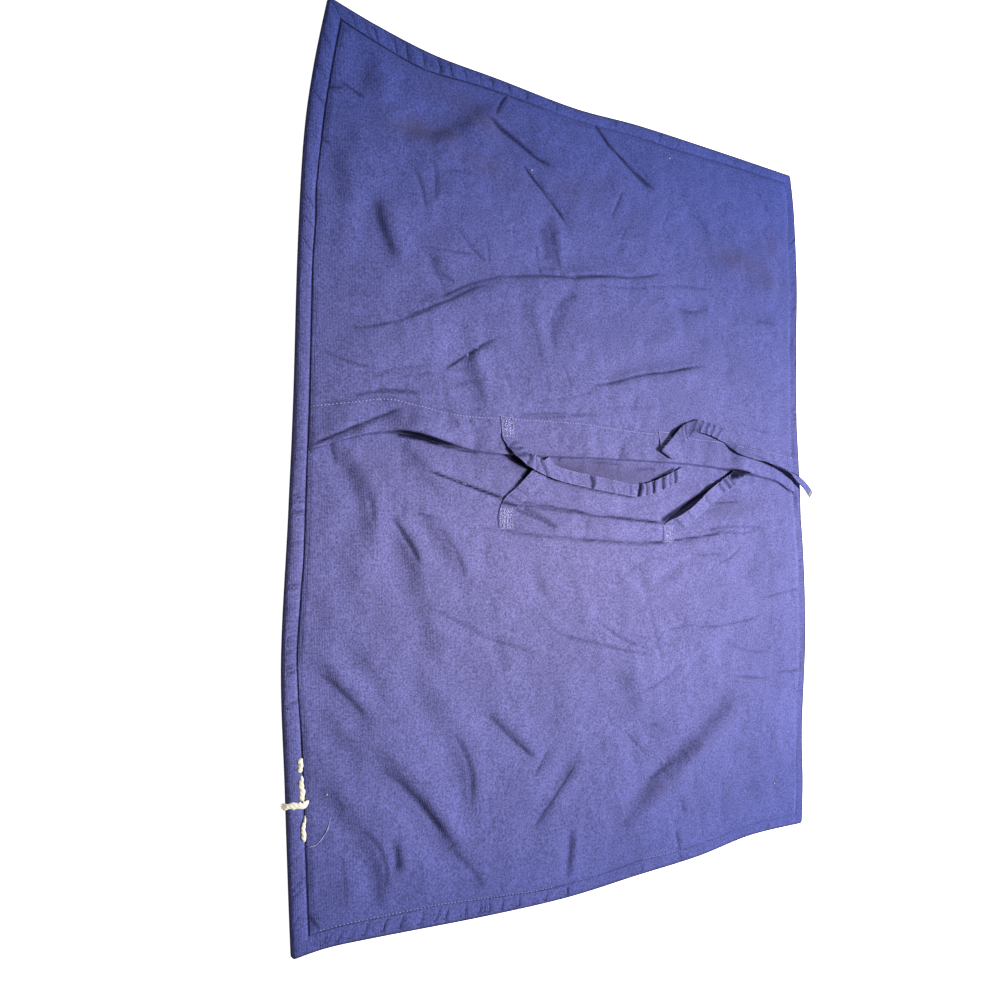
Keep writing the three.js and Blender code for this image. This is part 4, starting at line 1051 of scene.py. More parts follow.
def grime(x, y):
    """How much brownish darkening there is, partly grime and partly painted shade."""
    felt = np.zeros(x.shape)
    for spot in GRIME_AND_SHADE:
        turn = math.radians(spot.heading)
        along = (x - spot.x) * math.cos(turn) + (y - spot.y) * math.sin(turn)
        aside = (y - spot.y) * math.cos(turn) - (x - spot.x) * math.sin(turn)
        felt = felt + spot.strength * np.exp(-(along / spot.long) ** 2 - (aside / spot.wide) ** 2)
    return np.clip(felt * (1 + GRIME_AND_SHADE_UNEVEN * noise(x, y, GRIME_AND_SHADE_CELL, GRIME_AND_SHADE_SEED)), 0, 1)


def seam_shade_lines(name, x, y):
    """The signed distance to the nearest painted shade line, under the hem or in the binding's seam, in its
    half widths, and how dark that line is.
    """
    lines = []
    if name == "back_lower":
        lifted = np.clip(hem_lift(x) / FULL_LIFT, 0, 1)
        shift, half, dark = (flat + more * lifted for flat, more in UNDER_HEM_SHADOW)
        lines.append(((above_hem(x, y) + shift) / half, dark))
    if name != "front":
        for distance, side, along in zip(seam_distances(x, y), GROOVE_SHADES, (y, y, x, x)):
            lines.append(((distance - GROOVE_INSET) / LINE_HALF, np.interp(along, *zip(*GROOVE_SHADES[side]))))
    best = np.zeros(x.shape)
    reach = np.zeros(x.shape)
    depth = np.zeros(x.shape)
    for line_reach, dark in lines:
        near = dark * (1 - smooth(np.abs(line_reach), *LINE_REACH))
        felt = dark * np.exp(-np.abs(line_reach))
        closer = (near > 0) & (felt > best)
        best = np.where(closer, felt, best)
        reach = np.where(closer, line_reach, reach)
        depth = np.where(closer, near, depth)
    return reach, depth


def shaded(name, x, y):
    """How much painted shade the creases, the narrow places and the lifted hemmed edge get."""
    dark = np.zeros(x.shape)
    bent_x, bent_y = wandered(x, y)
    uneven = CREASE_LEVEL + CREASE_UNEVEN * noise(x, y, CREASE_UNEVEN_CELL, CREASE_SEED)
    uneven = np.clip(uneven, *CREASE_SPAN)
    # Painted shade on the hemmed edge where it stands off the lower panel
    if name == "back_upper":
        edge = 1 - smooth(above_hem(x, y), *LIFTED_EDGE)
        dark = np.clip(hem_lift(x) / LIFTED_ENOUGH, 0, 1) * edge
    for crease in {"back_upper": UPPER_CREASES, "back_lower": LOWER_CREASES}.get(name, []):
        aside, fade = fold_line(crease, bent_x, bent_y, CREASE_FADE)
        softer = max(1, crease.half / BROAD)
        deepest = min(CREASE_DARKEST, -crease.rise / CREASE_FULL_DEPTH / softer ** 2)
        dark = np.maximum(dark, deepest * uneven * fade * np.exp(-(aside / CREASE_HALF / softer) ** 2))
    for shade in SHADES.get(name, []):
        aside, fade = fold_line(shade, bent_x, bent_y, SHADE_FADE)
        power = CRISP_POWER if shade.dark >= BLACK else 2
        dark = np.maximum(dark, shade.dark * fade * np.exp(-np.abs(aside / shade.half) ** power))
    return dark


def panel_curves(lowest, highest):
    """The bottom, top, left and right curves of a panel between two distances up the sham."""
    across = np.linspace(PANEL_INSET, SHAM_WIDTH - PANEL_INSET, CURVE_SAMPLES)
    along = np.linspace(lowest, highest, CURVE_SAMPLES)
    return (lying(across, lowest), lying(across, highest),
            lying(PANEL_INSET, along), lying(SHAM_WIDTH - PANEL_INSET, along))


# Materials
def add_node(tree, kind, inputs=None, **settings):
    """Add a node with its settings, its input values and the links into it."""
    made = tree.nodes.new(kind)
    for key, value in settings.items():
        setattr(made, key, value)
    for key, value in (inputs or {}).items():
        if isinstance(value, bpy.types.NodeSocket):
            tree.links.new(value, made.inputs[key])
        else:
            made.inputs[key].default_value = value
    return made


def new_material(name):
    """An empty node material and its tree."""
    material = bpy.data.materials.get(name) or bpy.data.materials.new(name)
    material.use_nodes = True
    material.node_tree.nodes.clear()
    return material, material.node_tree


def worked(tree, operation, *values):
    """The outcome of a sum on sockets and numbers."""
    return add_node(tree, "ShaderNodeMath", dict(enumerate(values)), operation=operation).outputs[0]


def ranged(tree, value, low, high, start=0.0, end=1.0, **settings):
    """A value that runs from start to end, brought to run from low to high."""
    spans = {"Value": value, "From Min": start, "From Max": end, "To Min": low, "To Max": high}
    return add_node(tree, "ShaderNodeMapRange", spans, **settings).outputs[0]


def banded(tree, place, period_mm, way, **inputs):
    """A wave texture whose bands are this far apart."""
    scale = 2 * math.pi / (20 * period_mm * MM)
    return add_node(tree, "ShaderNodeTexWave", {"Vector": place, "Scale": scale, **inputs},
                    bands_direction=way).outputs["Fac"]


def speckled(tree, place, size_mm, **inputs):
    """A noise texture with features of this size."""
    return add_node(tree, "ShaderNodeTexNoise", {"Vector": place, "Scale": 1 / (size_mm * MM),
                                                 **inputs}).outputs["Fac"]


def painted(tree, layer):
    """A value that the mesh carries at its corners."""
    return add_node(tree, "ShaderNodeAttribute", attribute_name=layer).outputs["Fac"]


def scaled(tree, tint, tone):
    """A colour made lighter or darker."""
    return add_node(tree, "ShaderNodeVectorMath", {0: tint, "Scale": tone}, operation="SCALE").outputs[0]


def surfaced(tree, inputs):
    """Give the material a shader with these inputs."""
    shader = add_node(tree, "ShaderNodeBsdfPrincipled", inputs)
    add_node(tree, "ShaderNodeOutputMaterial", {"Surface": shader.outputs[0]})


def blend(tree, share, under, over):
    """Mix a plain colour over another colour."""
    return add_node(tree, "ShaderNodeMix", {0: share, 6: under, 7: (*over, 1)}, data_type="RGBA").outputs[2]


def woven_cotton(name, cotton, deep, colours):
    """Plain woven cotton, piece dyed and washed often: matt with a faint bloom of loose fibre, threads of
    uneven thickness that mottle the colour, and a painted fall-off of light that darkens it away from below
    the middle."""
    material, tree = new_material(name)
    place = add_node(tree, "ShaderNodeTexCoord").outputs["Object"]
    yarn = {"Distortion": 3.4, "Detail": 2.0, "Detail Scale": 1.4}
    weave = worked(tree, "MULTIPLY", *(banded(tree, place, YARN_MM, way, **yarn) for way in "XY"))
    slub = speckled(tree, place, SLUB_MM, Detail=1.5, Roughness=0.7)
    wash = speckled(tree, place, WASH_MM, Detail=5.0, Roughness=0.75)

    # Painted fall-off of light: lightest below the middle and a little to its left, darker away from there,
    # most towards the top; the dye is also uneven from yarn to yarn
    falloff_place = add_node(tree, "ShaderNodeMapping", {"Vector": place, "Location": PAINTED_FALLOFF_SHIFT,
                                                       "Scale": PAINTED_FALLOFF_SCALE}).outputs[0]
    faded = add_node(tree, "ShaderNodeTexGradient", {"Vector": falloff_place},
                     gradient_type="SPHERICAL").outputs["Fac"]
    painted_falloff = ranged(tree, faded, 0.0, 1.0, end=PAINTED_FALLOFF_END, interpolation_type="SMOOTHSTEP")
    dye = blend(tree, painted_falloff, (*deep, 1), cotton)
    mottle = ranged(tree, slub, 0.62, 1.38, 0.3, 0.7)
    patchy = ranged(tree, wash, 0.88, 1.12, 0.3, 0.7)
    thready = ranged(tree, weave, 0.94, 1.07)
    tone = worked(tree, "MULTIPLY", worked(tree, "MULTIPLY", mottle, patchy), thready)
    cloth = scaled(tree, dye, tone)

    # Grime with painted shade, and wear, then the painted shade of the creases and narrow places, and of
    # seams whose distance comes from the mesh
    reach = painted(tree, "crease_reach")
    falling = worked(tree, "MULTIPLY", worked(tree, "MULTIPLY", reach, reach), -1.0)
    pinched = worked(tree, "MULTIPLY", worked(tree, "EXPONENT", falling), painted(tree, "crease_depth"))
    for layer, overlay in (("grime", colours.grime), ("worn", colours.worn)):
        cloth = blend(tree, painted(tree, layer), cloth, overlay)
    cloth = blend(tree, worked(tree, "MAXIMUM", pinched, painted(tree, "shade")), cloth, colours.crease)

    height = worked(tree, "ADD", weave, slub)
    fine = add_node(tree, "ShaderNodeBump", {"Strength": 0.6, "Distance": 0.0003, "Height": height})
    bump = add_node(tree, "ShaderNodeBump", {"Strength": 0.8, "Distance": 0.0009, "Height": pinched,
                                             "Normal": fine.outputs[0]}, invert=True).outputs[0]
    surfaced(tree, {
        "Base Color": cloth, "Roughness": ranged(tree, slub, 0.82, 0.96), "IOR": 1.5,
        "Specular IOR Level": 0.05, "Sheen Weight": 0.02, "Sheen Roughness": 0.5, "Normal": bump})
    return material


def spun_thread(name, tint, ply_mm):
    """Plied cotton thread: a soft round strand with a twist, matt and a little fuzzy."""
    material, tree = new_material(name)
    place = add_node(tree, "ShaderNodeTexCoord").outputs["Object"]
    twist = banded(tree, place, ply_mm, "DIAGONAL", Distortion=1.0, Detail=1.0)
    tone = worked(tree, "ADD", twist, speckled(tree, place, FUZZ_MM, Detail=3.0))
    shade = ranged(tree, tone, 0.78, 1.06, end=1.6)
    bump = add_node(tree, "ShaderNodeBump", {"Strength": 0.5, "Distance": 0.0002, "Height": tone}).outputs[0]
    surfaced(tree, {
        "Base Color": scaled(tree, tint, shade), "Roughness": 0.8, "IOR": 1.5, "Specular IOR Level": 0.25,
        "Sheen Weight": 0.2, "Normal": bump})
    return material


def lit_acrylic(name, tint):
    """White acrylic of a light table, lit from below: matt and even, so that shadows on it stay pale."""
    material, tree = new_material(name)
    surfaced(tree, {
        "Base Color": (*tint, 1), "Roughness": 0.7, "Specular IOR Level": 0.1,
        "Emission Color": (*tint, 1), "Emission Strength": 1.0})
    return material


def panel_cotton(context):
    """The cotton of the panels and the ties."""
    colours = context.scene.sham_colours
    return woven_cotton("Woven cotton", tuple(colours.cotton), tuple(colours.cotton_painted_shade), colours)


def binding_cotton(context):
    """The cotton of the binding."""
    colours = context.scene.sham_colours
    return woven_cotton("Woven cotton binding", tuple(colours.binding), tuple(colours.binding_deep), colours)


def sewing_thread(context):
    """The thread of the seams."""
    return spun_thread("Sewing thread", tuple(context.scene.sham_colours.thread), THREAD_PLY_MM)


# Panels
class SHAM_OT_front_panel(bpy.types.Operator):
    """Make the sham's face, which lies underneath"""
    bl_idname = "sham.front_panel"
    bl_label = "Front panel"

    def execute(self, context):
        sizes = context.scene.sham_sizes
        bounds = panel_curves(PANEL_INSET, SHAM_LENGTH - PANEL_INSET)
        columns = panel_shares([(SHAM_WIDTH, COARSE_GRID)], SHAM_WIDTH)
        rows = panel_shares([(SHAM_LENGTH, COARSE_GRID)], SHAM_LENGTH)

        def sides(x, y, _sizes):
            pinch = 1 - smooth(edge_distance(x, y), *FRONT_PINCH)
            return (sizes.cloth / MM + CLEARANCE) * pinch, np.full(x.shape, FRONT)

        piece = panel("front", bounds, columns, rows, sides, sizes, panel_cotton(context))
        declare(piece, "front_panel")
        return {"FINISHED"}


class SHAM_OT_back_panels(bpy.types.Operator):
    """Make the lower panel and the hemmed upper panel that laps over it"""
    bl_idname = "sham.back_panels"
    bl_label = "Back panels"

    def execute(self, context):
        sizes = context.scene.sham_sizes
        grid = sizes.grid / MM
        width = SHAM_WIDTH - 2 * PANEL_INSET
        thirds = [(third * width / 3, share * grid) for third, share in enumerate(COLUMN_SHARES, 1)]
        columns = panel_shares(thirds, width)
        middle = SHAM_LENGTH / 2
        lower_length = middle + LOWER_TOP_Y - PANEL_INSET
        shown = (middle + LOWER_SHOWN_Y, LOWER_ROW_SHARE * grid)
        rows = panel_shares([shown, (lower_length, COARSE_GRID)], lower_length)
        lower = panel("back_lower", panel_curves(PANEL_INSET, middle + LOWER_TOP_Y), columns, rows,
                      lower_sides, sizes, panel_cotton(context))
        declare(lower, "back_lower_panel")

        highest = SHAM_LENGTH - PANEL_INSET
        upper_length = highest - middle - UPPER_START_Y
        before, after, spacing = HEM_STEP_ROWS
        rows = panel_shares([(HEM_ROUND, HEM_ROUND_ROWS), (HEM_DEPTH + before, grid),
                             (HEM_DEPTH + after, spacing), (upper_length, grid)], upper_length)
        upper = panel("back_upper", self.upper_bounds(highest), columns, rows, upper_sides, sizes,
                      panel_cotton(context))
        declare(upper, "back_upper_panel")
        return {"FINISHED"}

    def upper_bounds(self, highest):
        """The curves round the upper panel, with the hemmed edge as its bottom."""
        middle = SHAM_LENGTH / 2
        far = SHAM_WIDTH - PANEL_INSET
        left = lying(PANEL_INSET, np.linspace(middle + HEM_EDGE[0][1], highest, CURVE_SAMPLES))
        right = lying(far, np.linspace(middle + HEM_EDGE[-1][1], highest, CURVE_SAMPLES))
        top = lying(np.linspace(PANEL_INSET, far, CURVE_SAMPLES), highest)
        bottom = curve_through([left[0], *HEM_EDGE, right[0]])
        return bottom, top, left, right


# Binding. Each edge has its length, how it lies by inset and distance along it, the shares of the waves, the
# crown and the lip's height that it has, and how far in its painted edge shadow reaches
Edge = namedtuple("Edge", "side run place wrinkle proud lip soil")
EDGES = [
    Edge("left", SHAM_LENGTH, lambda inset, along: lying(inset, SHAM_LENGTH - along), 1.0, 1.0, 1.0, 1.2),
    Edge("right", SHAM_LENGTH, lambda inset, along: lying(SHAM_WIDTH - inset, along), 0.8, 0.1, 0.1, 2.3),
    Edge("top", SHAM_WIDTH, lambda inset, along: lying(SHAM_WIDTH - along, SHAM_LENGTH - inset),
         1.3, 0.8, 1.0, 1.8),
    Edge("bottom", SHAM_WIDTH, lambda inset, along: lying(along, inset), 1.3, 0.5, 0.5, 1.8),
]


def place_along(edge, points):
    """The coordinate of points that runs along an edge."""
    return points[:, 1] if edge.side in ("left", "right") else points[:, 0]


def spread(values, reach, worker):
    """Each value's neighbours within a reach, put together by worker."""
    padded = np.pad(values, reach, mode="edge")
    return worker([padded[k:k + len(values)] for k in range(2 * reach + 1)], axis=0)


class SHAM_OT_binding(bpy.types.Operator):
    """Make the folded strip along each edge, mitred at the corners"""
    bl_idname = "sham.binding"
    bl_label = "Binding"

    def execute(self, context):
        for number, edge in enumerate(EDGES):
            self.strip(context, edge, number)
        return {"FINISHED"}

    def strip(self, context, edge, number):
        """One stretch of the binding."""
        sizes = context.scene.sham_sizes
        crown = edge.proud * sizes.binding_crown / MM
        cloth = sizes.binding_cloth / MM
        share = np.linspace(0, 1, round(edge.run / BINDING_STEP) + 1)
        ends = CORNER_ROUND * (1 - math.sqrt(0.5)) + MITRE_GAP
        far = ends + share * (edge.run - 2 * ends)
        near = np.clip(np.minimum(far, edge.run - far), 0, CORNER_ROUND)
        rounding = CORNER_ROUND - np.sqrt(CORNER_ROUND ** 2 - (CORNER_ROUND - near) ** 2)
        outer = edge.place(rounding, far)
        along = place_along(edge, outer)
        width = BINDING_WIDTH + wander(edge.side, along)
        start = width[0] + MITRE_GAP
        inner = edge.place(width, start + share * (edge.run - start - width[-1] - MITRE_GAP))
        cover = (outer + inner) / 2
        covered = rim_sides(cover[:, 0], cover[:, 1], sizes)[1]
        covered = spread(spread(covered, BRIDGE, np.max), BRIDGE, np.mean)
        beside = spread(rim_sides(inner[:, 0], inner[:, 1], sizes)[1], LIP_BRIDGE, np.mean)

        inward = np.array([corner.inset for corner in BINDING_SECTION]) / BINDING_SECTION[-1].inset
        insets = np.outer(width, inward)
        run = np.broadcast_to(along[:, None], insets.shape)
        lifts = np.array([corner.lift for corner in BINDING_SECTION])
        sunk = (1 - edge.lip) * smooth(inward, *LIP_SINKS)
        lifts = lifts * (1 - sunk)
        shares = np.array([corner.share for corner in BINDING_SECTION])
        heights = shares * (covered[:, None] + np.outer(beside - covered, sunk)) + crown * lifts
        tucks = self.tucks(edge.side, insets, run)
        depth = sum(dark * np.exp(-(reach / TUCK_HALF) ** 2) for reach, dark in tucks)
        wrinkles = self.swell(insets, run, sizes.seed + BINDING_SEED + number) - TUCK_DEEP * depth
        heights = heights + edge.wrinkle * wrinkles * lifts * smooth(insets, *WAVES_FROM_EDGE)
        place = outer[:, None] + (inner - outer)[:, None] * inward[None, :, None]
        skin = np.concatenate([place, heights[..., None]], -1)

        # The under side lies one cloth inside the outer one, along the section's own normal
        rise = np.gradient(heights, axis=1)
        deeper = np.gradient(insets, axis=1)
        size = np.hypot(rise, deeper)
        in_place = place + (cloth * rise / size)[..., None] * ((inner - outer) / width[:, None])[:, None]
        under = np.concatenate([in_place, (heights - cloth * deeper / size)[..., None]], -1)
        name = "binding_" + edge.side
        piece = closed_sheet(name.replace("_", "."), skin[:, ::-1], under[:, ::-1], binding_cotton(context))
        mark(piece, self.lines(tucks, insets, lifts, edge.soil))
        declare(piece, name)

    def tucks(self, side, insets, run):
        """The distance along the strip to each of its tucks, which slant and bend, and how dark it is."""
        bend = TUCK_SLANT * insets + TUCK_BEND * noise(run, insets, TUCK_BEND_CELL, TUCK_SEED)
        return [(run - place + bend, dark) for place, dark in TUCKS[side]]

    def swell(self, insets, run, seed):
        """The small waves of a strip that was eased in along its seam."""
        slanted = run + SWELL_SLANT * insets + SWELL_BEND * noise(run, insets, SWELL_BEND_CELL, seed)
        drawn = insets / SWELL_DRAWN
        return sum(wave.high * noise(slanted, drawn, wave.cell, seed + wave.seed) for wave in SWELLS)

    def lines(self, tucks, insets, lifts, soil):
        """The painted shade lines in the tucks and the painted shadow along the outer edge, as on the
        panels.
        """
        reach = insets / soil
        depth = np.where(reach < EDGE_SHADE_REACH, EDGE_SHADE_DARK, 0)
        for apart, dark in tucks:
            near = (np.abs(apart) < TUCK_REACH * LINE_HALF) & (insets > TUCKS_FROM_EDGE_SHADE * soil)
            reach = np.where(near, apart / LINE_HALF, reach)
            depth = np.where(near, TUCK_DARK * dark * lifts, depth)
        return {"crease_reach": reach[:, ::-1], "crease_depth": depth[:, ::-1]}


# Ties
TieGrid = namedtuple("TieGrid", "upper under length normal valleys")


def tie_line(name, sizes):
    """The middle of a tie in rows along it, with the heading of its width and the share left of it."""
    thick = sizes.tie_thick / MM
    sides = {"upper": upper_sides, "lower": lower_sides, "rim": rim_sides}
    bound = FRONT + 2 * CLEARANCE + RIM_LAYERS * sizes.cloth / MM
    stations = []
    for row in TIES[name]:
        ground = float(sides[row.on](np.array([row.x]), np.array([row.y]), sizes)[1][0])
        if row.on == "rim":
            ground = max(ground, bound) + sizes.binding_crown / MM
        tilt = math.asin((row.lift_a - row.lift_b) / (TIE_WIDTHS[name] * row.fold))
        heading = math.radians(row.across)
        width = (math.cos(tilt) * math.cos(heading), math.cos(tilt) * math.sin(heading), math.sin(tilt))
        stations.append((row.x, row.y, ground + thick / 2 + (row.lift_a + row.lift_b) / 2, *width, row.fold))
    fine = spline_rows(stations, TIE_STEP)
    width = fine[:, 3:6] / np.linalg.norm(fine[:, 3:6], axis=1)[:, None]
    return fine[:, :3], width, fine[:, 6:]


def tie_puckers(name, along, beside):
    """The height of a tie's waves and puckers, and the depth of the puckers alone."""
    seed = int(abs(TIES[name][0].x))
    height = TIE_WAVE * noise(along, beside / TIE_WAVE_DRAWN, TIE_WAVE_CELL, seed)
    bend = PUCKER_BEND * noise(along, beside, PUCKER_BEND_CELL, seed + 1)
    valleys = np.zeros(along.shape)
    for tuck in PUCKERS[name]:
        apart = along - tuck.run + tuck.slant * beside + bend
        valley = tuck.depth * np.exp(-np.abs(apart / tuck.half) ** PUCKER_PINCH)
        valleys = np.maximum(valleys, valley)
        ridge = (apart - PUCKER_RIDGE.away * tuck.half) / (PUCKER_RIDGE.half * tuck.half)
        height = height - valley + PUCKER_RIDGE.high * tuck.depth * np.exp(-ridge ** 2)
    return height, valleys


def tie_grid(name, sizes):
    """Both sides of a tie, row by row along it, its length, normals and the depth of its puckers."""
    thick = sizes.tie_thick / MM
    middle, width, fold = tie_line(name, sizes)
    normal = np.cross(np.gradient(middle, axis=0), width)
    normal = normal / np.linalg.norm(normal, axis=1)[:, None]
    run = run_along(middle)
    side = np.sin(np.linspace(-math.pi / 2, math.pi / 2, TIE_ACROSS))
    along, beside = np.meshgrid(run, side * TIE_WIDTHS[name] / 2, indexing="ij")
    beside = beside * fold

    # The sewn end is pressed flat on the panel
    free = smooth(run, *SEWN_END)
    pressed = PRESSED + (1 - PRESSED) * free
    middle = middle - np.outer((1 - pressed) * thick / 2 + SEWN_SINK * (1 - free), (0, 0, 1))
    surface = middle[:, None] + beside[..., None] * width[:, None]
    rounded = TIE_EDGE + (1 - TIE_EDGE) * np.sqrt(1 - side ** TIE_SQUARE)
    half = pressed[:, None] * (2 - fold) * thick / 2 * rounded
    seam = -TIE_GROOVE * np.exp(-((np.abs(side) - TIE_GROOVE_AT) / TIE_GROOVE_HALF) ** 2)
    height, valleys = tie_puckers(name, along, beside)
    ends = smooth(along, *SEWN_END) * (1 - smooth(along, run[-1] - FREE_END, run[-1]))
    upper = surface + normal[:, None] * (half + seam + ends * height)[..., None]
    under = surface - normal[:, None] * (half - PUCKER_UNDER * ends * height)[..., None]
    return TieGrid(upper, under, run[-1], normal, ends * valleys)


class SHAM_OT_ties(bpy.types.Operator):
    """Make the four cloth ties as they lie"""
    bl_idname = "sham.ties"
    bl_label = "Ties"

    def execute(self, context):
        sizes = context.scene.sham_sizes
        for node in TIES:
            tie = tie_grid(node, sizes)
            name = node.replace("_", ".")
            upper = tie.upper[:, ::-1]
            piece = closed_sheet(name, upper, tie.under[:, ::-1], panel_cotton(context))
            worn = np.zeros(upper.shape[:2])
            worn[-WORN_ROWS:] = WORN_END.get(node, 0)
            x, y = upper[..., 0], upper[..., 1]
            # Painted shade where the tie goes in under the hem and in the valleys of its puckers
            under_hem_shade = smooth(above_hem(x, y), *HEM_SHADE) * UNDER_HEM.get(node, 0)
            pucker_shade = np.clip(PUCKER_DARK * tie.valleys[:, ::-1], 0, PUCKER_DARKEST)
            dark = np.maximum(shaded(name, x, y), pucker_shade)
            mark(piece, {"worn": np.stack([worn, worn]), "crease_depth": under_hem_shade,
                         "shade": np.stack([dark, dark])})
            declare(piece, node)
        return {"FINISHED"}


# Stitches
def stitch_tree():
    """The node tree that lays stitches along the edges of a mesh."""
    name = "Stitches along a line"
    if name in bpy.data.node_groups:
        return bpy.data.node_groups[name]
    tree = bpy.data.node_groups.new(name, "GeometryNodeTree")
    face = tree.interface
    face.new_socket("Geometry", in_out="INPUT", socket_type="NodeSocketGeometry")
    for label in ("Pitch", "Length", "Thickness", "Jitter"):
        face.new_socket(label, in_out="INPUT", socket_type="NodeSocketFloat")
    face.new_socket("Seed", in_out="INPUT", socket_type="NodeSocketInt")
    face.new_socket("Thread", in_out="INPUT", socket_type="NodeSocketMaterial")
    face.new_socket("Geometry", in_out="OUTPUT", socket_type="NodeSocketGeometry")
    given = add_node(tree, "NodeGroupInput").outputs
    line = add_node(tree, "GeometryNodeMeshToCurve", {"Mesh": given["Geometry"]}).outputs[0]
    points = add_node(tree, "GeometryNodeCurveToPoints", {"Curve": line, "Length": given["Pitch"]},
                      mode="LENGTH")
    spindle = add_node(tree, "GeometryNodeMeshUVSphere", {"Segments": 6, "Rings": 4, "Radius": 0.5})
    shape = add_node(tree, "ShaderNodeCombineXYZ", {0: given["Length"], 1: given["Thickness"],
                                                    2: given["Thickness"]}).outputs[0]
    facing = add_node(tree, "FunctionNodeAlignRotationToVector", {"Vector": points.outputs["Tangent"]},
                      axis="X")
    low = add_node(tree, "ShaderNodeMath", {0: 0.0, 1: given["Jitter"]}, operation="SUBTRACT").outputs[0]
    lean = add_node(tree, "FunctionNodeRandomValue", {2: low, 3: given["Jitter"], "Seed": given["Seed"]},
                    data_type="FLOAT").outputs[1]
    yaw = add_node(tree, "ShaderNodeCombineXYZ", {2: lean}).outputs[0]
    turned = add_node(tree, "FunctionNodeRotateRotation", {"Rotation": facing.outputs[0], "Rotate By": yaw})
    stitches = add_node(tree, "GeometryNodeInstanceOnPoints", {
        "Points": points.outputs["Points"], "Instance": spindle.outputs["Mesh"], "Scale": shape,
        "Rotation": turned.outputs[0]}).outputs[0]
    real = add_node(tree, "GeometryNodeRealizeInstances", {"Geometry": stitches}).outputs[0]
    sewn = add_node(tree, "GeometryNodeSetMaterial", {"Geometry": real, "Material": given["Thread"]})
    add_node(tree, "NodeGroupOutput", {0: sewn.outputs[0]})
    return tree


def stitched(name, lines, settings):
    """A plain mesh of stitches along some lines, given in millimetres."""
    corners = []
    edges = []
    for line in lines:
        first = len(corners)
        corners.extend((np.asarray(line) * MM).tolist())
        edges.extend((k, k + 1) for k in range(first, len(corners) - 1))
    mesh = bpy.data.meshes.new(name + "_lines")
    mesh.from_pydata(corners, edges, [])
    source = bpy.data.objects.new(name + "_lines", mesh)
    bpy.context.scene.collection.objects.link(source)
    tree = stitch_tree()
    modifier = source.modifiers.new("Stitches", "NODES")
    modifier.node_group = tree
    for item in tree.interface.items_tree:
        if item.in_out == "INPUT" and item.name in settings:
            modifier[item.identifier] = settings[item.name]
    solid = bpy.data.meshes.new_from_object(source.evaluated_get(bpy.context.evaluated_depsgraph_get()))
    source.modifiers.remove(modifier)
    bpy.data.objects.remove(source)
    bpy.data.meshes.remove(mesh)
    if not solid.polygons:
        raise RuntimeError(f"{name} has no stitches")
    solid.name = name
    solid.shade_smooth()
    piece = bpy.data.objects.new(name, solid)
    bpy.context.scene.collection.objects.link(piece)
    return piece


def stitch_settings(context, jitter=LEAN, **changes):
    """Values of the stitch tree's inputs."""
    sizes = context.scene.sham_sizes
    settings = {"Pitch": sizes.stitch_pitch, "Length": sizes.stitch_length, "Thickness": sizes.stitch_thick,
                "Jitter": jitter, "Seed": sizes.seed, "Thread": sewing_thread(context)}
    settings.update(changes)
    return settings


def on_cloth(x, y, sides, sizes, proud=PROUD):
    """A line of points just above a panel."""
    height = sides(x, y, sizes)[1] + proud
    return np.column_stack([x, y, height])


class SHAM_OT_seam_stitches(bpy.types.Operator):
    """Sew the hem, the seam inside the binding and the edges of the ties"""
    bl_idname = "sham.seam_stitches"
    bl_label = "Seam stitches"

    def execute(self, context):
        sizes = context.scene.sham_sizes
        x = np.linspace(HEM_SEAM[0][0], HEM_SEAM[-1][0], HEM_SAMPLES)
        bold = stitch_settings(context, Length=HEM_STITCH_LENGTH * sizes.stitch_length)
        hem = stitched("hem_stitches", [on_cloth(x, hem_seam(x), upper_sides, sizes, BOLD_PROUD)], bold)
        declare(hem)

        seams = []
        for number, first, last in SEWN_STRETCHES:
            edge = EDGES[number]
            along = np.arange(first * edge.run, last * edge.run, BINDING_STEP)
            beside = place_along(edge, edge.place(0, along))
            place = edge.place(BINDING_WIDTH + wander(edge.side, beside) + BESIDE_SEAM, along)
            seams.append(on_cloth(place[:, 0], place[:, 1], rim_sides, sizes))
        small = stitch_settings(context, Thickness=SMALL_STITCH_THICK * sizes.stitch_thick,
                                Length=SMALL_STITCH_LENGTH * sizes.stitch_length)
        seam = stitched("binding_stitches", seams, small)
        declare(seam)

        lines = []
        for node in TIES:
            tie = tie_grid(node, sizes)
            for column in TIE_SEAM_COLUMNS:
                lines.append(tie.upper[TIE_SEAM_ROWS, column] + PROUD * tie.normal[TIE_SEAM_ROWS])
        tie_seams = stitched("tie_stitches", lines, small)
        declare(tie_seams)
        return {"FINISHED"}


